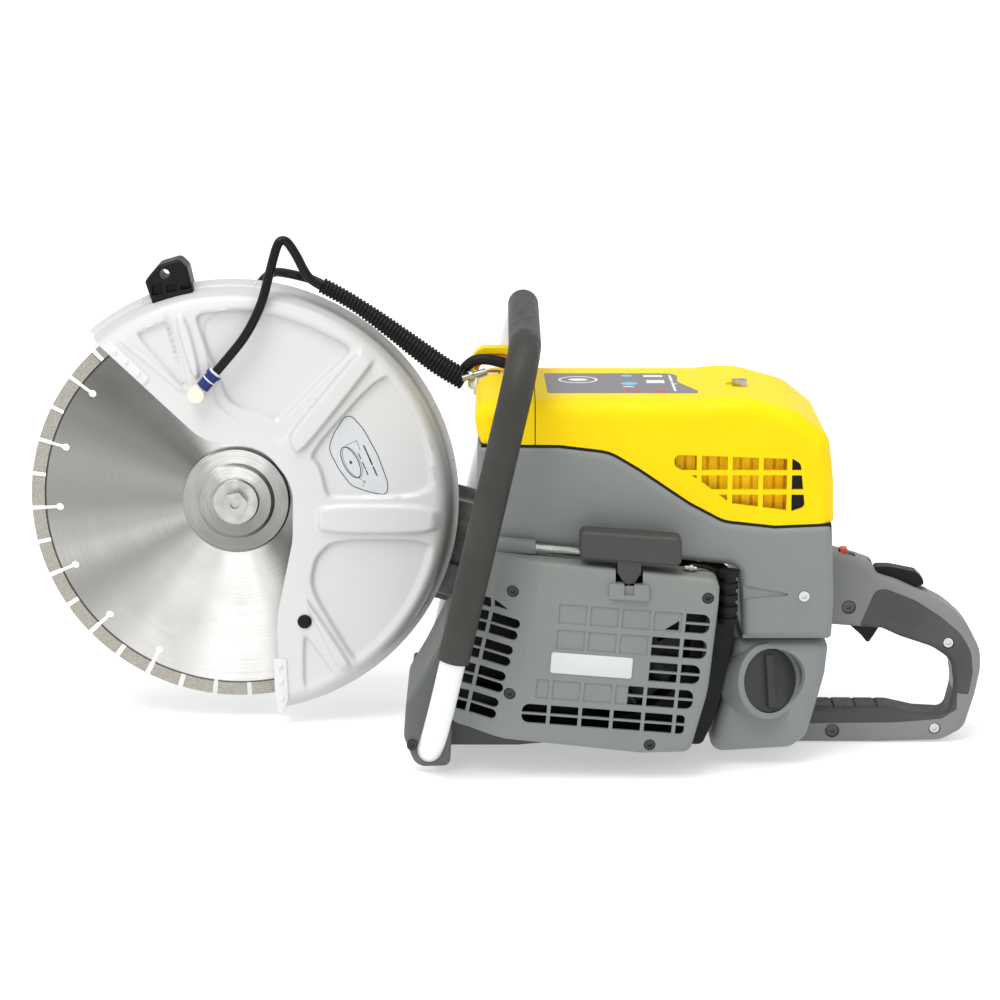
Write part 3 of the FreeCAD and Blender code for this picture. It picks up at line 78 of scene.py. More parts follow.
# ---- camera, light and floor ----
def set_camera():
    data = bpy.data.cameras.new("camera")
    data.lens = 105.2
    data.sensor_width = 36.0
    data.clip_end = 100.0
    camera = bpy.data.objects.new("camera", data)
    camera.location = (-0.003, -2.376, 0.801)
    camera.rotation_euler = (math.radians(76), 0, 0)
    bpy.context.scene.collection.objects.link(camera)
    bpy.context.scene.camera = camera


def area_light(name, location, target, size, power):
    data = bpy.data.lights.new(name, "AREA")
    data.shape = "RECTANGLE"
    data.size, data.size_y = size
    data.energy = power
    light = bpy.data.objects.new(name, data)
    light.location = location
    aim = Vector(target) - Vector(location)
    light.rotation_euler = aim.to_track_quat("-Z", "Y").to_euler()
    bpy.context.scene.collection.objects.link(light)


def set_light():
    world = bpy.data.worlds.new("studio")
    world.use_nodes = True
    sky = world.node_tree.nodes["Background"]
    sky.inputs["Color"].default_value = (0.98, 0.99, 1.0, 1)
    sky.inputs["Strength"].default_value = 0.8
    bpy.context.scene.world = world
    data = bpy.data.lights.new("key", "SUN")
    data.energy = 1.4
    data.angle = math.radians(30)
    key = bpy.data.objects.new("key", data)
    key.rotation_euler = Vector((0.3, 0.48, -1.0)).to_track_quat("-Z", "Y").to_euler()
    bpy.context.scene.collection.objects.link(key)
    area_light("over", (0.1, -0.3, 1.6), (0, 0, 0.2), (1.2, 0.5), 5)
    area_light("side", (-1.9, -0.9, 1.0), (-0.1, 0, 0.2), (0.5, 1.0), 2)
    bpy.context.scene.view_settings.view_transform = "Standard"


# ---- finishes ----
def tint(r, g, b):
    """0 to 255 screen colour to linear light."""
    def one(value):
        share = value / 255
        return share / 12.92 if share <= 0.04045 else ((share + 0.055) / 1.055) ** 2.4
    return (one(r), one(g), one(b), 1.0)


class Finish:
    """A Principled material with short ways to add noise, mixing and bump."""

    def __init__(self, name, colour, roughness, metallic=0.0, coat=0.0, edge=0.0, shine=0.4):
        self.material = bpy.data.materials.new(name)
        self.material.use_nodes = True
        self.material.diffuse_color = colour
        self.tree = self.material.node_tree
        self.shader = self.tree.nodes["Principled BSDF"]
        self.shader.inputs["Base Color"].default_value = colour
        self.shader.inputs["Roughness"].default_value = roughness
        self.shader.inputs["Metallic"].default_value = metallic
        self.shader.inputs["Coat Weight"].default_value = coat
        self.shader.inputs["Specular IOR Level"].default_value = shine
        self.shader.inputs["Coat Roughness"].default_value = 0.12
        self.where = self.node("ShaderNodeTexCoord").outputs["Object"]
        self.colour = None
        self.base = colour
        self.normal = None
        if edge:
            self.round_edges(edge)

    def node(self, kind, **values):
        made = self.tree.nodes.new(kind)
        for key, value in values.items():
            if hasattr(made, key):
                setattr(made, key, value)
            else:
                made.inputs[key].default_value = value
        return made

    def link(self, source, target):
        self.tree.links.new(source, target)

    def noise(self, scale, detail=3.0, place=None):
        made = self.node("ShaderNodeTexNoise", Scale=scale, Detail=detail)
        self.link(place or self.where, made.inputs["Vector"])
        return made.outputs["Fac"]

    def cells(self, scale, place=None):
        made = self.node("ShaderNodeTexVoronoi", Scale=scale)
        self.link(place or self.where, made.inputs["Vector"])
        return made.outputs["Distance"]

    def spread(self, value, low, high, to_low=0.0, to_high=1.0):
        """value taken from low..high to to_low..to_high."""
        made = self.node("ShaderNodeMapRange")
        limits = {"From Min": low, "From Max": high, "To Min": to_low, "To Max": to_high}
        for key, number in limits.items():
            made.inputs[key].default_value = number
        self.link(value, made.inputs["Value"])
        return made.outputs["Result"]

    def blend_to(self, share, colour):
        """Mixes colour over what is there, by share."""
        mix = self.node("ShaderNodeMix", data_type="RGBA")
        self.link(share, mix.inputs["Factor"])
        if self.colour is None:
            mix.inputs[6].default_value = self.base
        else:
            self.link(self.colour, mix.inputs[6])
        mix.inputs[7].default_value = colour
        self.colour = mix.outputs[2]
        self.link(self.colour, self.shader.inputs["Base Color"])

    def roughness(self, share, low, high):
        self.link(self.spread(share, 0.3, 0.7, low, high), self.shader.inputs["Roughness"])

    def bump(self, height, depth_mm, strength=1.0):
        made = self.node("ShaderNodeBump")
        made.inputs["Strength"].default_value = strength
        made.inputs["Distance"].default_value = depth_mm / 1000
        self.link(height, made.inputs["Height"])
        if self.normal is not None:
            self.link(self.normal, made.inputs["Normal"])
        self.normal = made.outputs["Normal"]
        self.link(self.normal, self.shader.inputs["Normal"])

    def round_edges(self, radius_mm):
        """Softens sharp edges and keeps a mask of them for wear."""
        soft = self.node("ShaderNodeBevel", samples=4)
        soft.inputs["Radius"].default_value = radius_mm / 1000
        face = self.node("ShaderNodeNewGeometry")
        dot = self.node("ShaderNodeVectorMath", operation="DOT_PRODUCT")
        self.link(soft.outputs["Normal"], dot.inputs[0])
        self.link(face.outputs["Normal"], dot.inputs[1])
        self.edges = self.spread(dot.outputs["Value"], 0.98, 0.8)
        self.normal = soft.outputs["Normal"]
        self.link(self.normal, self.shader.inputs["Normal"])

    def wear(self, colour, amount=0.5):
        """Lightens rounded edges, unevenly."""
        patchy = self.spread(self.noise(60, 4), 0.35, 0.7, 0.0, amount)
        both = self.node("ShaderNodeMath", operation="MULTIPLY")
        self.link(self.edges, both.inputs[0])
        self.link(patchy, both.inputs[1])
        self.blend_to(both.outputs["Value"], colour)


    def painted_slope_shade(self, colour, amount):
        """Paints shade on the slopes that turn away from a panel's flat face."""
        face = self.node("ShaderNodeNewGeometry")
        parts = self.node("ShaderNodeSeparateXYZ")
        self.link(face.outputs["Normal"], parts.inputs["Vector"])
        flat = self.node("ShaderNodeMath", operation="ABSOLUTE")
        self.link(parts.outputs["Y"], flat.inputs[0])
        self.blend_to(self.spread(flat.outputs["Value"], 0.98, 0.6, 0, amount), colour)


def shade(colour, factor):
    return tuple(min(1.0, c * factor) for c in colour[:3]) + (1.0,)


def moulded(name, colour, roughness, grain=0.03, grain_scale=1500, edge=0.5, worn=0.25, shine=0.4):
    """Moulded plastic: fine spark-eroded grain, faint cloudiness and slightly polished edges."""
    made = Finish(name, colour, roughness, edge=edge, shine=shine)
    made.blend_to(made.spread(made.noise(14, 4), 0.35, 0.75, 0, 0.5), shade(colour, 0.86))
    made.blend_to(made.spread(made.noise(420, 2), 0.62, 0.8, 0, 0.25), shade(colour, 1.25))
    made.wear(shade(colour, 1.7), worn)
    made.roughness(made.noise(90, 3), roughness - 0.06, roughness + 0.08)
    made.bump(made.noise(grain_scale, 2), grain)
    return made.material


def painted(name, colour, roughness, coat=0.3, peel=0.02, edge=0.4, painted_slope_shade=0.0):
    """Sprayed paint: orange peel under a thin clear gloss, with faint dust in it, and painted shade on
    stamped slopes when asked.
    """
    made = Finish(name, colour, roughness, coat=coat, edge=edge)
    # painted shade on the slopes of the stamping
    if painted_slope_shade:
        made.painted_slope_shade(shade(colour, 0.5), painted_slope_shade)
    made.blend_to(made.spread(made.noise(9, 3), 0.4, 0.7, 0, 0.35), shade(colour, 0.93))
    made.blend_to(made.spread(made.noise(900, 2), 0.72, 0.8, 0, 0.3), shade(colour, 0.8))
    made.roughness(made.noise(35, 4), roughness - 0.05, roughness + 0.08)
    made.bump(made.noise(260, 2), peel)
    return made.material


def rubber(name, colour, roughness=0.55, grain=0.05, edge=0.3, shine=0.4):
    made = Finish(name, colour, roughness, edge=edge, shine=shine)
    made.blend_to(made.spread(made.noise(30, 5), 0.4, 0.75, 0, 0.6), shade(colour, 1.6))
    made.roughness(made.noise(120, 3), roughness - 0.1, roughness + 0.1)
    made.bump(made.noise(2200, 2), grain)
    return made.material


def metal(name, colour, roughness, grain=0.02, scale=700, edge=0.3):
    """Machined or cast metal with mottling and fine tool marks."""
    made = Finish(name, colour, roughness, metallic=1.0, edge=edge)
    made.blend_to(made.spread(made.noise(85, 5), 0.35, 0.7, 0, 0.6), shade(colour, 0.6))
    made.wear(shade(colour, 1.4), 0.5)
    made.roughness(made.noise(160, 4), roughness - 0.08, roughness + 0.12)
    made.bump(made.noise(scale, 3), grain)
    return made.material


def turned(name, painted_sheen, roughness, ring_scale, grain, repeat=1, streak=0.35, anisotropy=0.7, painted_step_shadow=None):
    """Metal ground in rings about the spindle, with painted sheen: its highlights and shade are painted into
    the colour in (degrees, grey) sectors.
    """
    colour = tint(170, 170, 166)
    made = Finish(name, colour, roughness, metallic=1.0)
    parts = made.node("ShaderNodeSeparateXYZ")
    shift = made.node("ShaderNodeVectorMath", operation="SUBTRACT")
    shift.inputs[1].default_value = at(0, 0, 0)
    made.link(made.where, shift.inputs[0])
    made.link(shift.outputs["Vector"], parts.inputs["Vector"])
    flat = made.node("ShaderNodeCombineXYZ")
    made.link(parts.outputs["X"], flat.inputs["X"])
    made.link(parts.outputs["Z"], flat.inputs["Z"])
    reach = made.node("ShaderNodeVectorMath", operation="LENGTH")
    made.link(flat.outputs["Vector"], reach.inputs[0])
    turn = made.node("ShaderNodeMath", operation="ARCTAN2")
    made.link(parts.outputs["Z"], turn.inputs[0])
    made.link(parts.outputs["X"], turn.inputs[1])
    polar = made.node("ShaderNodeCombineXYZ")
    made.link(reach.outputs["Value"], polar.inputs["X"])
    made.link(turn.outputs["Value"], polar.inputs["Y"])
    squeeze = made.node("ShaderNodeMapping")
    squeeze.inputs["Scale"].default_value = (ring_scale, 1.6, 1.0)
    made.link(polar.outputs["Vector"], squeeze.inputs["Vector"])
    rings = made.noise(1.0, 4, squeeze.outputs["Vector"])
    wobble = made.node("ShaderNodeMath", operation="ADD")
    made.link(made.spread(turn.outputs["Value"], -math.pi, math.pi, 0, repeat), wobble.inputs[0])
    made.link(made.spread(rings, 0.2, 0.8, -0.012, 0.012), wobble.inputs[1])
    part = made.node("ShaderNodeMath", operation="FRACT")
    made.link(wobble.outputs["Value"], part.inputs[0])
    # painted sheen: this ramp paints highlight and shade into the base colour by angle about the spindle
    ramp = made.node("ShaderNodeValToRGB")
    stops = ramp.color_ramp.elements
    ramp.color_ramp.interpolation = "EASE"
    for i, (degrees, grey) in enumerate(painted_sheen):
        stop = stops[i] if i < 2 else stops.new(degrees * repeat / 360)
        stop.position = degrees * repeat / 360
        stop.color = tint(grey, grey - 1, grey - 4)
    made.link(part.outputs["Value"], ramp.inputs["Fac"])
    made.colour = ramp.outputs["Color"]
    made.blend_to(made.spread(rings, 0.4, 0.7, 0, streak), shade(colour, 0.5))
    made.blend_to(made.spread(made.noise(26, 5), 0.45, 0.8, 0, 0.3), shade(colour, 0.7))
    # painted shadow: a dark ring where the thicker segments step out from the core
    if painted_step_shadow:
        away = made.node("ShaderNodeMath", operation="SUBTRACT")
        made.link(reach.outputs["Value"], away.inputs[0])
        away.inputs[1].default_value = painted_step_shadow / 1000
        off = made.node("ShaderNodeMath", operation="ABSOLUTE")
        made.link(away.outputs["Value"], off.inputs[0])
        made.blend_to(made.spread(off.outputs["Value"], 0.0006, 0.0013, 0.85, 0), tint(52, 50, 46))
    made.roughness(rings, roughness - 0.07, roughness + 0.1)
    made.bump(rings, grain)
    made.shader.inputs["Anisotropic"].default_value = anisotropy
    tangent = made.node("ShaderNodeTangent", direction_type="RADIAL", axis="Y")
    made.link(tangent.outputs["Tangent"], made.shader.inputs["Tangent"])
    return made.material


def screw_steel(name, dark, bright, x0, x1):
    """Screw steel, blackened on the screws that stand forward of x0 to x1."""
    made = Finish(name, bright, 0.32, metallic=1.0, edge=0.2)
    parts = made.node("ShaderNodeSeparateXYZ")
    made.link(made.where, parts.inputs["Vector"])
    low, high = at(x0, 0, 0).x, at(x1, 0, 0).x
    made.blend_to(made.spread(parts.outputs["X"], low, high, 1, 0), dark)
    made.wear(shade(bright, 1.2), 0.4)
    made.roughness(made.noise(160, 4), 0.26, 0.42)
    made.bump(made.noise(700, 3), 0.02)
    return made.material


def sintered(name):
    """Diamond segment: porous bronze-grey matrix with bright grit."""
    base = tint(176, 172, 162)
    made = Finish(name, base, 0.55, metallic=0.75, edge=0.3)
    made.blend_to(made.spread(made.cells(900), 0.1, 0.5, 0.7, 0), tint(104, 100, 94))
    made.blend_to(made.spread(made.noise(1600, 2), 0.62, 0.7), tint(226, 224, 216))
    made.bump(made.cells(900), 0.12)
    made.bump(made.noise(2400, 3), 0.08)
    return made.material


def foam(name):
    """Oiled filter fabric: fine open cells, with painted shade that makes it darker in the folds."""
    base = tint(255, 214, 20)
    made = Finish(name, base, 0.8, shine=0.2)
    # painted shade: patchy darker orange standing for the folds
    made.blend_to(made.spread(made.noise(30, 3), 0.45, 0.75, 0, 0.7), tint(248, 176, 8))
    made.blend_to(made.spread(made.cells(700), 0.0, 0.5, 0.3, 0), tint(196, 120, 8))
    made.bump(made.cells(700), 0.25)
    return made.material


def ink(name, colour):
    """Screen-printed ink on a foil: nearly matt, with a soft print grain."""
    made = Finish(name, colour, 0.45, coat=0.2)
    made.blend_to(made.spread(made.noise(700, 2), 0.5, 0.8, 0, 0.4), shade(colour, 1.3))
    made.bump(made.noise(1300, 2), 0.01)
    return made.material


def make_floor_finish():
    made = Finish("floor_paper", (0.68, 0.68, 0.68, 1), 0.85)
    made.blend_to(made.spread(made.noise(3, 3), 0.3, 0.8, 0, 0.35), (0.66, 0.665, 0.67, 1))
    made.shader.inputs["Emission Color"].default_value = (1, 1, 1, 1)
    made.shader.inputs["Emission Strength"].default_value = 0.44
    made.bump(made.noise(350, 2), 0.03)
    return made.material


# painted sheen of the ground steel: highlights and shade painted into its colour, in degrees from the ramp's
# start and screen grey
BLADE_PAINTED_SHEEN = [(0, 148), (12, 172), (18, 188), (30, 157), (46, 194), (58, 220), (70, 217), (84, 246),
             (100, 243), (108, 222), (130, 118), (137, 108), (150, 132), (166, 158), (180, 148)]
FLANGE_PAINTED_SHEEN = [(0, 172), (60, 146), (110, 140), (140, 150), (180, 166), (218, 190), (240, 238), (266, 246),
              (296, 228), (318, 182), (360, 172)]
F = {
    "blade": turned("blade_steel", BLADE_PAINTED_SHEEN, 0.36, 5200, 0.004, repeat=2, streak=0.3, painted_step_shadow=163.4),
    "segment": sintered("segment_metal"),
    "flange": turned("flange_steel", FLANGE_PAINTED_SHEEN, 0.42, 900, 0.02, streak=0.3, anisotropy=0.4),
    "bolt": metal("bolt_steel", tint(196, 197, 192), 0.3),
    "cast": metal("cast_alloy", tint(150, 152, 150), 0.5, 0.12, 500),
    "dark_cast": metal("dark_cast_alloy", tint(72, 73, 72), 0.5, 0.12, 500),
    "casting": moulded("dark_casting", tint(96, 99, 96), 0.5, 0.06, 900, worn=0.5),
    "muffler": metal("muffler_steel", tint(120, 112, 100), 0.5, 0.05, 300),
    "belt": rubber("belt_rubber", tint(24, 24, 25), 0.6),
    "arm_paint": painted("arm_cover_paint", tint(72, 74, 74), 0.45, 0.1),
    "black": moulded("black_plastic", tint(13, 13, 14), 0.42, 0.05, worn=0.3, shine=0.22),
    "housing_screw": screw_steel("housing_screw_steel", tint(66, 66, 64), tint(206, 206, 202), 440, 450),
    "handle_screw": screw_steel("handle_screw_steel", tint(84, 84, 82), tint(204, 204, 200), 540, 560),
    "grip": moulded("grip_plastic", tint(63, 62, 61), 0.5, 0.08, 1100, edge=0.8),
    "light_grey": moulded("light_grey_plastic", tint(126, 131, 127), 0.5, 0.05, 1200, edge=0.7,
                          worn=0.3),
    "rubber": rubber("black_rubber", tint(12, 12, 13), 0.55, shine=0.25),
    "sleeve": rubber("sleeve_rubber", tint(54, 53, 50), 0.55, 0.06, edge=0, shine=0.3),
    "hoop": painted("hoop_paint", tint(238, 238, 238), 0.22, 0.5, 0.03, edge=0),
    "grey": moulded("grey_plastic", tint(127, 131, 130), 0.48, 0.06, 1100, edge=0.7),
    "yellow": moulded("yellow_plastic", tint(249, 213, 0), 0.45, 0.018, 1100, edge=0.6, worn=0.12,
                      shine=0.15),
    "tank": moulded("tank_plastic", tint(126, 131, 129), 0.48, 0.06, 1000, edge=0.8),
    "cap": moulded("cap_plastic", tint(50, 50, 50), 0.5, 0.07, 1000, edge=0.6, worn=0.5),
    "handle": moulded("handle_plastic", tint(126, 127, 127), 0.48, 0.06, 1100, edge=0.7),
    "inlay": rubber("inlay_rubber", tint(66, 66, 66), 0.6, 0.1),
    "red": moulded("switch_red", tint(222, 82, 48), 0.4, 0.03),
    "guard": painted("guard_paint", tint(215, 215, 214), 0.34, 0.25, 0.012, painted_slope_shade=0.45),
    "white": moulded("nozzle_white", tint(232, 228, 212), 0.4, 0.03),
    "blue": moulded("coupling_blue", tint(20, 38, 110), 0.4, 0.03),
    "conduit": moulded("conduit_plastic", tint(14, 14, 15), 0.42, 0.02, edge=NO_ROUNDING,
                       worn=0.1, shine=0.22),
    "hose": rubber("hose_rubber", tint(9, 9, 10), 0.3, 0.015, shine=0.25),
    "filter": foam("filter_fabric"),
    "strip": moulded("strip_plastic", tint(226, 227, 226), 0.35, 0.02),
    "label": ink("label_foil", tint(208, 212, 215)),
    "decal": ink("decal_grey", tint(112, 108, 112)),
    "dark_ink": ink("dark_ink", tint(52, 54, 58)),
    "light_ink": ink("light_ink", tint(228, 228, 228)),
    "blue_ink": ink("blue_ink", tint(110, 180, 214)),
    "red_ink": ink("red_ink", tint(196, 60, 54)),
    "plate": moulded("badge_plate", tint(206, 209, 207), 0.35, 0.02, edge=0.4, worn=0.2),
    # painted shade of the yellow, for the inside of the arch
    "arch_painted_shade": moulded("arch_painted_shade", tint(238, 142, 20), 0.45, 0.02),
}

CAD_FINISH = {
    "blade": ["blade_core"],
    "segment": ["blade_segments"],
    "flange": ["outer_flange", "inner_flange"],
    "bolt": ["blade_bolt", "spindle", "pulley_nut", "arm_bolts", "belt_tensioner", "crankshaft",
             "ball_bearings", "cover_screw", "clutch_drum", "clutch_shoes", "recoil_spring"],
    "housing_screw": ["housing_screws"],
    "handle_screw": ["handle_screws"],
    "dark_cast": ["flywheel"],
    "cast": ["blade_pulley", "cutting_arm", "crankcase", "cylinder", "piston", "connecting_rod",
             "carburettor"],
    "casting": ["engine_base"],
    "muffler": ["muffler"],
    "belt": ["drive_belt"],
    "arm_paint": ["belt_cover", "clutch_cover"],
    "black": ["fan_housing", "guard_knob", "throttle_trigger", "throttle_lock", "spark_plug",
              "starter_reel"],
    "grip": ["starter_grip"],
    "light_grey": ["starter_cover"],
    "rubber": ["isolator_mounts"],
    "sleeve": ["hoop_sleeve"],
    "hoop": ["front_hoop"],
    "grey": ["upper_housing"],
    "yellow": ["hood_front", "top_cover"],
    "tank": ["fuel_tank"],
    "cap": ["fuel_cap"],
    "handle": ["rear_handle_left", "rear_handle_right"],
    "inlay": ["grip_pads"],
    "red": ["stop_switch"],
    "guard": ["guard_right_shell"],
    "white": ["nozzle_elbows", "water_coupling"],
    "blue": ["nozzle_couplings"],
    "filter": ["air_filter"],
}


def finish_cad_nodes():
    for finish, names in CAD_FINISH.items():
        for name in names:
            mesh = NODES[name].data
            mesh.materials.clear()
            mesh.materials.append(F[finish])


# ---- mesh makers ----
def piece(name, bm, finish, body, sharp=38.0):
    """Makes an object of a bmesh in spindle millimetres, shaded smooth but for its sharp edges."""
    for vert in bm.verts:
        vert.co = at(*vert.co)
    bmesh.ops.recalc_face_normals(bm, faces=bm.faces)
    for face in bm.faces:
        face.smooth = True
    for edge in bm.edges:
        edge.smooth = len(edge.link_faces) == 2 and edge.calc_face_angle(0) < math.radians(sharp)
    mesh = bpy.data.meshes.new(name)
    bm.to_mesh(mesh)
    bm.free()
    mesh.materials.append(F[finish])
    made = bpy.data.objects.new(name, mesh)
    bpy.context.scene.collection.objects.link(made)
    if body:
        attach(made, body)
    return made


def rounded(points, radius=0.0, step=1.5, closed=True):
    """Corners (x, z) or (x, z, radius) as points along the outline, with arcs at the corners."""
    corners = [p if len(p) == 3 else (p[0], p[1], radius) for p in points]
    made = []
    for i, (x, z, r) in enumerate(corners):
        here = Vector((x, z))
        if r <= 0 or (not closed and i in (0, len(corners) - 1)):
            made.append(here)
            continue
        before = Vector(corners[i - 1][:2]) - here
        after = Vector(corners[(i + 1) % len(corners)][:2]) - here
        half = before.angle(after) / 2
        cut = min(r / math.tan(half), 0.49 * before.length, 0.49 * after.length)
        r = cut * math.tan(half)
        a, b = here + before.normalized() * cut, here + after.normalized() * cut
        centre = here + (before.normalized() + after.normalized()).normalized() * (r / math.sin(half))
        start, sweep = a - centre, (a - centre).angle_signed(b - centre)
        count = max(3, int(abs(sweep) * r / step))
        for k in range(count + 1):
            t = -sweep * k / count
            turned_to = Vector((start.x * math.cos(t) - start.y * math.sin(t),
                                start.x * math.sin(t) + start.y * math.cos(t)))
            made.append(centre + turned_to)
    return made


def plate(outline, y0, y1, bevel=0.5, bm=None, tilt=0.0):
    """Flat plate with a bevelled face at y0; tilt leans it about the starter's middle, in degrees."""
    bm = bm or bmesh.new()
    lean = math.radians(tilt)
    verts = []
    for p in outline:
        dx, dz = p[0] - CRANK_X, p[1] - CRANK_Z
        x = CRANK_X + dx * math.cos(lean) - dz * math.sin(lean) if tilt else p[0]
        z = CRANK_Z + dx * math.sin(lean) + dz * math.cos(lean) if tilt else p[1]
        verts.append(bm.verts.new((x, y0, z)))
    face = bm.faces.new(verts)
    grown = bmesh.ops.extrude_face_region(bm, geom=[face])
    moved = [g for g in grown["geom"] if isinstance(g, bmesh.types.BMVert)]
    bmesh.ops.translate(bm, verts=moved, vec=(0, y1 - y0, 0))
    if bevel:
        front = [e for e in face.edges]
        bmesh.ops.bevel(bm, geom=front, offset=bevel, segments=2, profile=0.5, affect="EDGES")
    return bm


def ribbon(points, width, y, bm=None, closed=False):
    """Thin flat line along (x, z) points at depth y."""
    bm = bm or bmesh.new()
    pts = [Vector(p[:2]) for p in points]
    count = len(pts)
    pairs = []
    for i, p in enumerate(pts):
        before = pts[i - 1] if i or closed else p
        after = pts[(i + 1) % count] if i < count - 1 or closed else p
        way = (after - before).normalized()
        side = Vector((-way.y, way.x)) * width / 2
        pairs.append([bm.verts.new((q.x, y, q.y)) for q in (p + side, p - side)])
    for i in range(count if closed else count - 1):
        a, b = pairs[i], pairs[(i + 1) % count]
        bm.faces.new((a[0], a[1], b[1], b[0]))
    return bm


def frames_along(line):
    """(point, side, up) at each point of a line, with no sudden twist."""
    ways = []
    for i in range(len(line)):
        ways.append((line[min(i + 1, len(line) - 1)] - line[max(i - 1, 0)]).normalized())
    side = ways[0].orthogonal().normalized()
    made = []
    for point, way in zip(line, ways):
        side = (side - way * side.dot(way)).normalized()
        made.append((point, side, way.cross(side)))
    return made


def tube(line, radii, sides=24, bm=None, ends=True):
    """Round tube along points, with one radius or one for each point."""
    bm = bm or bmesh.new()
    if not hasattr(radii, "__len__"):
        radii = [radii] * len(line)
    rings = []
    for (point, side, up), radius in zip(frames_along(line), radii):
        ring = []
        for k in range(sides):
            a = 2 * math.pi * k / sides
            out = side * (radius * math.cos(a)) + up * (radius * math.sin(a))
            ring.append(bm.verts.new(point + out))
        rings.append(ring)
    for a, b in zip(rings[:-1], rings[1:]):
        for k in range(sides):
            bm.faces.new((a[k], a[(k + 1) % sides], b[(k + 1) % sides], b[k]))
    if ends:
        bm.faces.new(rings[0][::-1])
        bm.faces.new(rings[-1])
    return bm


def turned_form(centre, axis, profile, sides=32, bm=None):
    """(radius, distance along axis) outline turned about an axis from centre."""
    bm = bm or bmesh.new()
    way = Vector(axis).normalized()
    side = way.orthogonal().normalized()
    up = way.cross(side)
    rings = []
    for radius, along in profile:
        point = Vector(centre) + way * along
        if radius < 1e-4:
            rings.append([bm.verts.new(point)])
            continue
        ring = []
        for k in range(sides):
            a = 2 * math.pi * k / sides
            out = side * (radius * math.cos(a)) + up * (radius * math.sin(a))
            ring.append(bm.verts.new(point + out))
        rings.append(ring)
    for a, b in zip(rings[:-1], rings[1:]):
        for k in range(sides):
            n = (k + 1) % sides
            if len(a) == 1:
                bm.faces.new((a[0], b[n], b[k]))
            elif len(b) == 1:
                bm.faces.new((a[k], a[n], b[0]))
            else:
                bm.faces.new((a[k], a[n], b[n], b[k]))
    return bm


def smooth_line(points, name, steps=10):
    """Points read from a NURBS spline through a route's control points, in spindle millimetres."""
    curve = bpy.data.curves.new(name, "CURVE")
    curve.dimensions = "3D"
    spline = curve.splines.new("NURBS")
    spline.points.add(len(points) - 1)
    for control, point in zip(spline.points, points):
        control.co = (*point, 1)
    spline.order_u = 3
    spline.use_endpoint_u = True
    spline.resolution_u = steps
    holder = bpy.data.objects.new(name, curve)
    bpy.context.scene.collection.objects.link(holder)
    mesh = bpy.data.meshes.new_from_object(holder)
    line = [v.co.copy() for v in mesh.vertices]
    bpy.data.objects.remove(holder)
    bpy.data.curves.remove(curve)
    bpy.data.meshes.remove(mesh)
    return line


def evenly(line, step):
    """The same line with points step apart."""
    made, left = [line[0].copy()], step
    for a, b in zip(line[:-1], line[1:]):
        length = (b - a).length
        while left <= length:
            made.append(a.lerp(b, left / length))
            left += step
        left -= length
    made.append(line[-1].copy())
    return made


# ---- guard ----
SHOULDER = [(168, 26.0), (171, 26.0), (174, 26.6), (177, 28.1), (179.6, 30.4), (181.8, 33.6), (183.2, 37.2),
            (184, 41), (184, 44.5), (184, 47.4), (184.6, 49.0), (186.2, 49.75), (188, 49.8), (190, 49.8)]
OPENING = [(-108, 136), (-24, 55, 45), (24, 52, 42), (50, 18, 40), (49, -30, 60), (34, -100, 120),
           (GUARD_CUT_X, -166.4)]
FRONT_ANGLES = (128.45, 129.7)      # the front end of the shell, at its face and at its rim
# (depth, width of the sloping side, outline): recesses have positive depths and beads negative
STAMPING = [
    (3.2, 4.5, [(-31, 166), (8, 169), (40, 164), (68, 154), (99, 138), (101, 131), (72, 104), (40, 70),
                (25, 78), (8, 82), (-5, 91), (-15, 119), (-26, 147)]),
    (-3.4, 6, [(46, 56), (48, 66), (106, 135), (114, 141), (124, 137), (126, 129), (62, 48), (52, 44)]),
    (3.2, 4.5, [(128, 119), (148, 97), (162, 71), (168, 45), (169, 7), (82, 5), (77, 9), (72, 33),
                (62, 45)]),
    (-2.8, 6, [(72, 3), (176, 2), (178, -26), (72, -26), (68, -12)]),
    (3.0, 6, [(84, -28), (169, -29), (166, -52), (153, -84), (130, -116), (104, -139), (98, -138), (66, -82),
              (62, -66), (67, -44)]),
    (-2.4, 4, [(54, -78), (62, -82), (102, -146), (94, -152), (86, -146)]),
    (2.4, 4, [(56, -112), (62, -116), (88, -156), (74, -162), (55, -168)]),
    (1.2, 3, [(-22, 160), (-24, 150), (-16, 96), (-13, 86), (9, 69), (34, 55), (44, 56), (52, 66),
              (104, 131), (106, 140), (70, 160), (40, 168), (0, 171)]),
    (2.4, 3, [(-80, 147), (-74, 151), (-54, 159), (-50, 155), (-38, 100), (-42, 103)]),
    (-1.4, 3, [(-96, 143), (-89, 147), (-66, 128), (-36, 99), (-42, 97), (-70, 121)]),
    (-2.8, 4, [(-48, 163), (-36, 165), (-24, 113), (-33, 108)]),
    (1.6, 3.6, [(-58, 165), (-50, 167), (-34, 103), (-40, 101)]),
]


def softened(points, rounds=2):
    """Cuts the corners of a closed outline twice over."""
    pts = [np.array(p, float) for p in points]
    for _ in range(rounds):
        cut = []
        for i, p in enumerate(pts):
            n = pts[(i + 1) % len(pts)]
            cut += [p * 0.8 + n * 0.2, p * 0.2 + n * 0.8]
        pts = cut
    return np.array(pts)


def depth_inside(x, z, outline):
    """Distance to a closed outline for points inside it, and minus that distance outside."""
    near = np.full(x.shape, 1e9)
    inside = np.zeros(x.shape, bool)
    for a, b in zip(outline, np.roll(outline, -1, axis=0)):
        run = b - a
        t = np.clip(((x - a[0]) * run[0] + (z - a[1]) * run[1]) / (run @ run), 0, 1)
        near = np.minimum(near, np.hypot(x - a[0] - t * run[0], z - a[1] - t * run[1]))
        if a[1] != b[1]:
            crosses = ((a[1] > z) != (b[1] > z)) & (x < run[0] * (z - a[1]) / run[1] + a[0])
            inside ^= crosses
    return np.where(inside, near, -near)


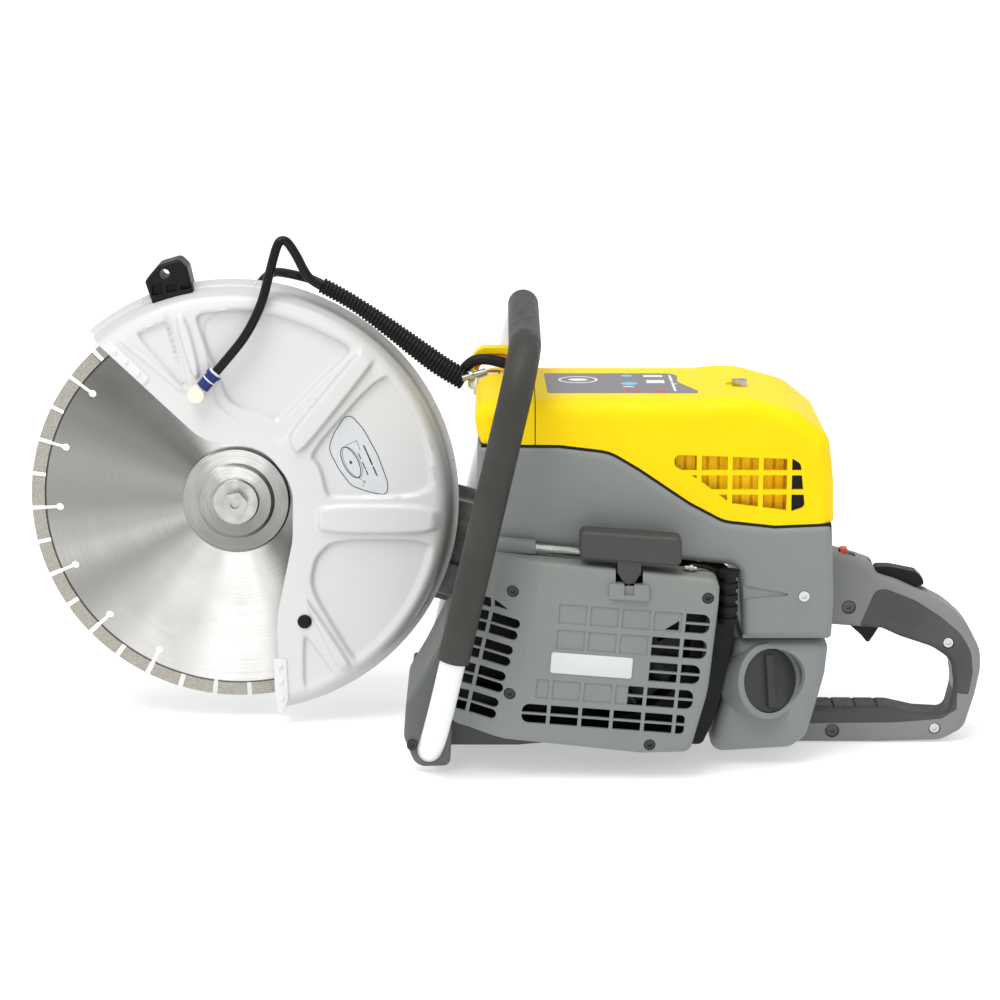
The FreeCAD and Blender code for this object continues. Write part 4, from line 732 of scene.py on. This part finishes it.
def relief(x, z):
    """How far the stamping moves the guard's face inwards at (x, z)."""
    total = np.zeros(x.shape)
    for depth, slope, points in STAMPING:
        share = np.clip(depth_inside(x, z, softened(points)) / (slope * PRESS_SLOPE), 0, 1)
        total += depth * PRESS_DEPTH * share * share * (3 - 2 * share)
    return total


def unrolled():
    """Radius on the unrolled sheet for each row of the shoulder."""
    reach = [SHOULDER[0][0]]
    for (r0, y0), (r1, y1) in zip(SHOULDER[:-1], SHOULDER[1:]):
        reach.append(reach[-1] + math.hypot(r1 - r0, y1 - y0))
    return reach


def guard_shell():
    """Left half of the guard, pressed from one sheet: face, shoulder, wall and rim."""
    step = MESH_STEP
    reach = unrolled()
    radii, depths = [r for r, _ in SHOULDER], [y for _, y in SHOULDER]

    def polar(rho, angle):
        return (rho * math.cos(angle), rho * math.sin(angle))

    def front(radius):
        low, high = FRONT_ANGLES
        return math.radians(low + (high - low) * min(1, max(0, (radius - SHOULDER_R) / SHOULDER_WIDTH)))

    outline = [polar(rho, front(r)) for rho, r in zip(reach[::-1], radii[::-1]) if r >= 174]
    edge = rounded(OPENING, step=step, closed=False)
    for a, b in zip(edge[:-1], edge[1:]):
        count = max(1, round((b - a).length / step))
        outline += [tuple(a.lerp(b, k / count)) for k in range(count)]
    outline += [polar(rho, -math.acos(GUARD_CUT_X / r)) for rho, r in zip(reach, radii) if r > 170.5]
    first, last = -math.acos(GUARD_CUT_X / radii[-1]), front(radii[-1])
    count = int((last - first) * reach[-1] / step)
    outline += [polar(reach[-1], first + (last - first) * k / count) for k in range(1, count)]

    inner = []
    rows = int(2 * reach[0] / (step * 0.866))
    for i in range(rows):
        z = -reach[0] + i * step * 0.866
        for k in range(int(2 * reach[0] / step)):
            x = -reach[0] + k * step + (step / 2 if i % 2 else 0)
            if math.hypot(x, z) < reach[0] - step * 0.7:
                inner.append((x, z))
    for rho in reach[:-1]:
        count = int(2 * math.pi * rho / step)
        inner += [polar(rho, 2 * math.pi * k / count) for k in range(count)]
    inner = np.array(inner)
    clear = depth_inside(inner[:, 0], inner[:, 1], np.array(outline)) > 0.9
    points = [Vector(p) for p in outline] + [Vector(p) for p in inner[clear]]
    flat, _, faces, _, _, _ = delaunay_2d_cdt(points, [], [list(range(len(outline)))], 1, 1e-5)

    co = np.array([(p.x, p.y) for p in flat])
    rho = np.hypot(co[:, 0], co[:, 1])
    angle = np.arctan2(co[:, 1], co[:, 0])
    radius = np.where(rho < reach[0], rho, np.interp(rho, reach, radii))
    x, z = radius * np.cos(angle), radius * np.sin(angle)
    fade = np.clip((175 - radius) / 7, 0, 1)
    y = np.interp(rho, reach, depths) + relief(x, z) * fade
    bm = bmesh.new()
    verts = [bm.verts.new(p) for p in zip(x, y, z)]
    for face in faces:
        bm.faces.new([verts[k] for k in face])
    bmesh.ops.recalc_face_normals(bm, faces=bm.faces)
    if sum(f.normal.y * f.calc_area() for f in bm.faces) > 0:
        bmesh.ops.reverse_faces(bm, faces=bm.faces)
    bmesh.ops.solidify(bm, geom=bm.faces[:] + bm.edges[:] + bm.verts[:], thickness=SHEET)
    made = piece("guard_shell", bm, "guard", "guard", sharp=50)
    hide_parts("guard_left_shell")


LABEL = [(97, 81, 6), (85, 62, 20), (80, 49, 20), (89, 31, 20), (99, 17, 14), (112, 12, 20), (130, 8, 5),
         (130, 20, 20), (122, 43, 40), (110, 66, 40)]
LABEL_Y = GUARD_FACE_Y + 3.2 * PRESS_DEPTH - 0.12


def ellipse(x, z, a, b, lean, count=40):
    turn = math.radians(lean)
    made = []
    for k in range(count):
        t = 2 * math.pi * k / count
        u, w = a * math.cos(t), b * math.sin(t)
        made.append((x + u * math.cos(turn) - w * math.sin(turn),
                     z + u * math.sin(turn) + w * math.cos(turn)))
    return made


def guard_label():
    """Foil on the guard with a plain drawing of a disc and its size marks, and no writing."""
    outline = rounded(LABEL)
    piece("guard_label", plate(outline, LABEL_Y, LABEL_Y + 0.3, 0), "label", "guard")
    y = LABEL_Y - 0.06
    bm = ribbon(outline, 0.7, y, closed=True)
    ribbon(ellipse(99, 37, 14.5, 6.2, -64), 0.8, y, bm, closed=True)
    ribbon(ellipse(100.5, 37, 14.5, 6.2, -64), 0.35, y - 0.03, bm, closed=True)
    plate(ellipse(99, 37, 1.6, 1.1, -64, 16), y, y + 0.1, 0, bm)
    leaders = (((94, 51), (104, 56)), ((104, 56), (107, 48)), ((105, 24), (112, 19)), ((111, 22), (109, 16)))
    for a, b in leaders:
        ribbon([a, b], 0.4, y, bm)
    for i, length in enumerate((6, 9, 5, 8)):
        x, z = 110 + 2.6 * i, 52 - 6.2 * i
        ribbon([(x, z), (x + length * 0.42, z - length)], 1.2, y, bm)
    for i, length in enumerate((5, 7, 4)):
        x, z = 105.5 + 3.2 * i, 45 - 7.5 * i
        ribbon([(x, z), (x + length * 0.42, z - length)], 0.9, y, bm)
    piece("guard_label_print", bm, "dark_ink", "guard")


def guard_trims():
    """Riveted edge strips, rim rivets and the plug in the drain hole."""
    strips = [
        ([(-108, 136.6, 2), (-74.5, 104.3, 2), (-68.5, 110.5, 2), (-101, 143.5, 3)],
         [(-97, 133), (-88, 124.5), (-78, 114.5)]),
        ([(31, -135.5, 2), (42, -135.5, 2), (43, -170, 9), (38.5, -186, 4), (34.5, -185, 3),
          (31.5, -168, 10)],
         [(36.5, -142), (36.8, -156), (37.5, -171)]),
    ]
    for i, (outline, rivets) in enumerate(strips):
        bm = plate(rounded(outline), GUARD_FACE_Y - 1.3, GUARD_FACE_Y + 0.6, 0.5)
        for x, z in rivets:
            turned_form((x, GUARD_FACE_Y - 1.3, z), (0, -1, 0),
                        [(2.3, -0.2), (2.1, 0.5), (1.4, 1.0), (0, 1.2)], 16, bm)
        piece(f"edge_strip_{i}", bm, "strip", "guard")
    bm = bmesh.new()
    for degrees in (114, 84, 54, 26, 11, -8, -30, -52, -70):
        a = math.radians(degrees)
        turned_form((187.4 * math.cos(a), 49.85, 187.4 * math.sin(a)), (0, -1, 0),
                    [(1.5, -0.2), (1.3, 0.35), (0.7, 0.65), (0, 0.7)], 14, bm)
    piece("rim_rivets", bm, "strip", "guard")
    bm = turned_form((58, GUARD_FACE_Y, -102), (0, -1, 0),
                     [(4.9, -3.0), (4.9, 0.0), (6.0, 0.1), (6.1, 0.9), (5.2, 1.6), (3.2, 1.8), (2.9, 1.2),
                      (0, 1.1)])
    piece("guard_plug", bm, "rubber", "guard")


# ---- water line ----
LEFT_HOSE = [(-13.08, 18.8, 116.09), (-1.25, 18.8, 129.53), (14.5, 19.5, 149), (27, 21.5, 174),
             (33, 26, 197), (37, 28.5, 212), (39.5, 30, 220.5), (42.5, 31.5, 226),
             (47.5, 33, 225.5), (52, 34.5, 219),
             (57, 35.5, 210), (61.5, 36, 200), (67.15, 36, 191.66), (75.91, 36, 187.05)]
RIGHT_HOSE = [(-13.08, 85.2, 116.09), (-1.25, 85.2, 129.53), (6, 86.5, 151), (14, 85.5, 169), (23, 79, 185),
              (34, 67, 194), (46, 55, 194.5), (57, 47, 193.5), (68.04, 44, 191.19), (75.91, 44, 187.05)]
CONDUIT = [(195.5, 40, 106), (178, 40, 116), (158, 40, 131), (136, 40, 148), (115, 40, 163.5), (95, 40, 177),
           (76, 40, 187)]


def water_hose(name, route):
    line = smooth_line(route, name)
    made = piece(name, tube(line, HOSE_R, 20), "hose", None)
    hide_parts(name)
    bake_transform(made)


def hose_conduit():
    """Corrugated sleeve over both hoses, thicker where it bunches up at the rear."""
    pitch = 3.3
    line = evenly(smooth_line(CONDUIT, "hose_conduit", 16), pitch / 6)
    radii = []
    for i in range(len(line)):
        share = i / (len(line) - 1)
        outer = 9.3 - 2.5 * min(1.0, max(0.0, (share - 0.25) / 0.5))
        radii.append(outer - (1.2, 0.25, 0.0, 0.0, 0.25, 1.2)[i % 6])
    made = piece("ribbed_conduit", tube(line, radii, 32), "conduit", "root", sharp=65)
    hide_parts("hose_conduit")


def nozzle_trim():
    """Pale clamp rings where the near hose leaves its coupling."""
    way = Vector(LEFT_HOSE[1]) - Vector(LEFT_HOSE[0])
    ring = [(3.9, -1.6), (5.6, -1.4), (5.9, -0.9), (5.9, 0.9), (5.6, 1.4), (3.9, 1.6)]
    bm = turned_form(LEFT_HOSE[0], way, ring)
    turned_form(Vector(LEFT_HOSE[0]) - way.normalized() * 7.5, way,
                [(5.2, -0.8), (5.7, -0.6), (5.7, 0.6), (5.2, 0.8)], 32, bm)
    piece("hose_clamp", bm, "strip", "guard")


def vent_baffle():
    """Dark wall inside the hood behind the last column of the vent."""
    side = [(460.5, 18), (475, 18), (475, 72), (460.5, 72)]
    piece("vent_baffle", plate(side, -78.6, -77.2, 0), "black", "root")


# the hood's lower edge, from its front to its rear
HOOD_EDGE = [(210, 78.1), (273, 77.6), (314, 72.6, 40), (338, 58.1, 30), (379, 30.1, 30), (407, 15.1, 30),
             (448, 10.6), (493.9, 12.45)]


def hood_seal():
    """Rubber strip that closes the joint between the hood and the grey housing."""
    line = rounded(HOOD_EDGE, closed=False)
    strip = line + [p - Vector((0, 3)) for p in reversed(line)]
    bm = plate(strip, -81.95, -79.4, 0)
    plate(strip, 67.1, 68.9, 0, bm)
    plate([(491.5, 9.3), (493.9, 9.4), (493.9, 12.4), (491.5, 12.3)], -79.4, 67.1, 0, bm)
    piece("hood_seal", bm, "rubber", "root")


def front_fittings():
    """Black elbow, steel union and an orange plate inside the arch where the hoses enter the hood, its
    orange a painted shade of the yellow.
    """
    bend = [(193, 44, 112), (198, 43, 119), (206, 42, 123.5), (218, 41, 123.5), (230, 40, 120)]
    line = smooth_line(bend, "elbow")
    piece("hood_elbow", tube(line, 4.6, 20), "rubber", "root")
    bm = turned_form((193, 30, 109), (1.0, 0.35, 0.22),
                     [(0, 0), (2.6, 0.2), (2.6, 6), (4.4, 6.4), (4.8, 7.2), (4.8, 9.8), (4.4, 10.4),
                      (3.2, 10.6), (3.2, 22), (0, 22)])
    piece("hood_union", bm, "bolt", "root")
    # painted shade: the arch's shaded inside, painted as an orange copy of the yellow
    inside = [(202.5, 98, 1), (203.6, 115.5, 8), (212, 125.6, 9), (229, 125.6, 9), (248, 113, 2),
              (247, 111, 1), (228, 121, 9), (213, 121, 9), (207, 113, 8), (206, 98, 1)]
    piece("arch_shade_plate", plate(rounded(inside), 54.5, 65.5, 0.4), "arch_painted_shade", "root")


# ---- starter side trims ----
def starter_trims():
    badge = [(267, -107.5, 2), (333, -107.5, 2), (333, -90, 2), (267, -90, 2)]
    piece("blank_badge", plate(rounded(badge, step=0.6), STARTER_FACE - 0.7, STARTER_FACE + 0.4, 0.35,
                               tilt=GRILLE_TILT), "plate", "root")
    bm = plate(rounded([(253, -1.2), (291, -4.6), (291, -9.8), (253, -8)], 0.8, 0.5), -96.5, -92, 0.6)
    piece("choke_rod", bm, "bolt", "root")
    sheath = rounded([(222, 3.2), (254, 0.4), (254, -9.4), (222, -7.4)], 1.0, 0.5)
    piece("rod_sheath", plate(sheath, -97.5, -88, 0.7), "grey", "root")
    bm = turned_form((374, -98, -20.4), (1, 0, -0.1),
                     [(0, 0), (2.1, 0.3), (2.1, 4), (3.2, 4.2), (3.2, 7), (2, 7.4), (2, 10), (0, 10.3)], 20)
    piece("cable_end", bm, "bolt", "root")
    line = smooth_line([(380, -94, -19), (390, -92, -21), (398, -90, -24), (405, -88, -28)], "cable")
    piece("starter_side_cable", tube(line, 1.6, 14), "rubber", "root")


def starter_rope():
    """Braided pull rope between the guide and the grip."""
    bm = bmesh.new()
    foot, head, turns = -44.2, -29.2, 3.0
    for strand in range(3):
        line = []
        for k in range(49):
            share = k / 48
            a = 2 * math.pi * (turns * share + strand / 3)
            line.append(Vector((329 + 0.75 * math.cos(a), -106.5 + 0.75 * math.sin(a),
                                foot + (head - foot) * share)))
        tube(line, 1.0, 10, bm)
    made = piece("pull_rope", bm, "strip", None, sharp=80)
    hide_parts("starter_rope")
    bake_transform(made)


# ---- top decal ----
def on_top(points, z, bm, height=0.12):
    """Flat piece on the hood's top from (x, y) points."""
    low = [bm.verts.new((x, y, z)) for x, y in points]
    high = [bm.verts.new((x, y, z + height)) for x, y in points]
    bm.faces.new(high)
    for i in range(len(points)):
        n = (i + 1) % len(points)
        bm.faces.new((low[i], low[n], high[n], high[i]))
    return bm


def ring_on_top(outer, inner, z, bm):
    a = [bm.verts.new((x, y, z)) for x, y in outer]
    b = [bm.verts.new((x, y, z)) for x, y in inner]
    for i in range(len(a)):
        n = (i + 1) % len(a)
        bm.faces.new((a[i], a[n], b[n], b[i]))


def top_decal():
    """Grey control foil on the hood, with an oval, plain symbols and a scale, and no writing."""
    outline = rounded([(262, 34, 3), (264, -46, 3), (386, -47, 3), (387, -38, 4), (381, -22, 30),
                       (372, -2, 30), (374, 34, 12)])
    piece("hood_decal", on_top(outline, HOOD_TOP, bmesh.new(), 0.2), "decal", "root")
    z = HOOD_TOP + 0.26
    bm = bmesh.new()
    ring_on_top(ellipse(290, 7, 16.5, 14, 0), ellipse(290, 7, 14.5, 11.5, 0), z, bm)
    on_top(ellipse(290, 7, 8, 5, 0, 24), z - 0.1, bm)
    for x, y, width, depth in ((353, 22, 16, 7), (354, -1, 15, 12), (331, -21, 9, 3)):
        left, right = x - width / 2, x + width / 2
        near, far = y - depth / 2, y + depth / 2
        on_top([(left, near), (right, near), (right, far), (left, far)], z - 0.1, bm)
    on_top([(366, 25), (368, 25), (369.5, -39), (367.5, -39)], z - 0.1, bm)
    for i in range(6):
        a = math.radians(200 + 22 * i)
        x, y = 382 + 13 * math.cos(a) - 3, 24 * math.sin(a) + 6
        if x < 371 or y < -18:
            on_top(ellipse(x + 1, y, 1.0, 1.6, 0, 10), z - 0.1, bm)
    piece("decal_light_print", bm, "light_ink", "root")
    bm = bmesh.new()
    on_top(ellipse(331, 23, 5, 4, 0, 20), z - 0.1, bm)
    on_top(ellipse(332, -9, 7, 6, 0, 24), z - 0.1, bm)
    piece("decal_blue_print", bm, "blue_ink", "root")
    bm = bmesh.new()
    ring_on_top(ellipse(333, -34, 7.5, 8, 0), ellipse(333, -34, 5.5, 5.6, 0), z, bm)
    on_top([(349, -40), (360, -28), (360, -40)], z - 0.1, bm)
    piece("decal_red_print", bm, "red_ink", "root")


def make_floor():
    bm = bmesh.new()
    half = 40.0
    for x, y in ((-half, -half), (half, -half), (half, half), (-half, half)):
        bm.verts.new((x, y, 0.0))
    bm.faces.new(bm.verts)
    mesh = bpy.data.meshes.new("floor")
    bm.to_mesh(mesh)
    bm.free()
    mesh.materials.append(make_floor_finish())
    made = bpy.data.objects.new("floor", mesh)
    bpy.context.scene.collection.objects.link(made)


set_camera()
water_hose("water_hose_left", LEFT_HOSE)
water_hose("water_hose_right", RIGHT_HOSE)
set_light()
make_floor()
finish_cad_nodes()
guard_shell()
guard_label()
guard_trims()
hose_conduit()
nozzle_trim()
vent_baffle()
hood_seal()
front_fittings()
starter_trims()
starter_rope()
top_decal()
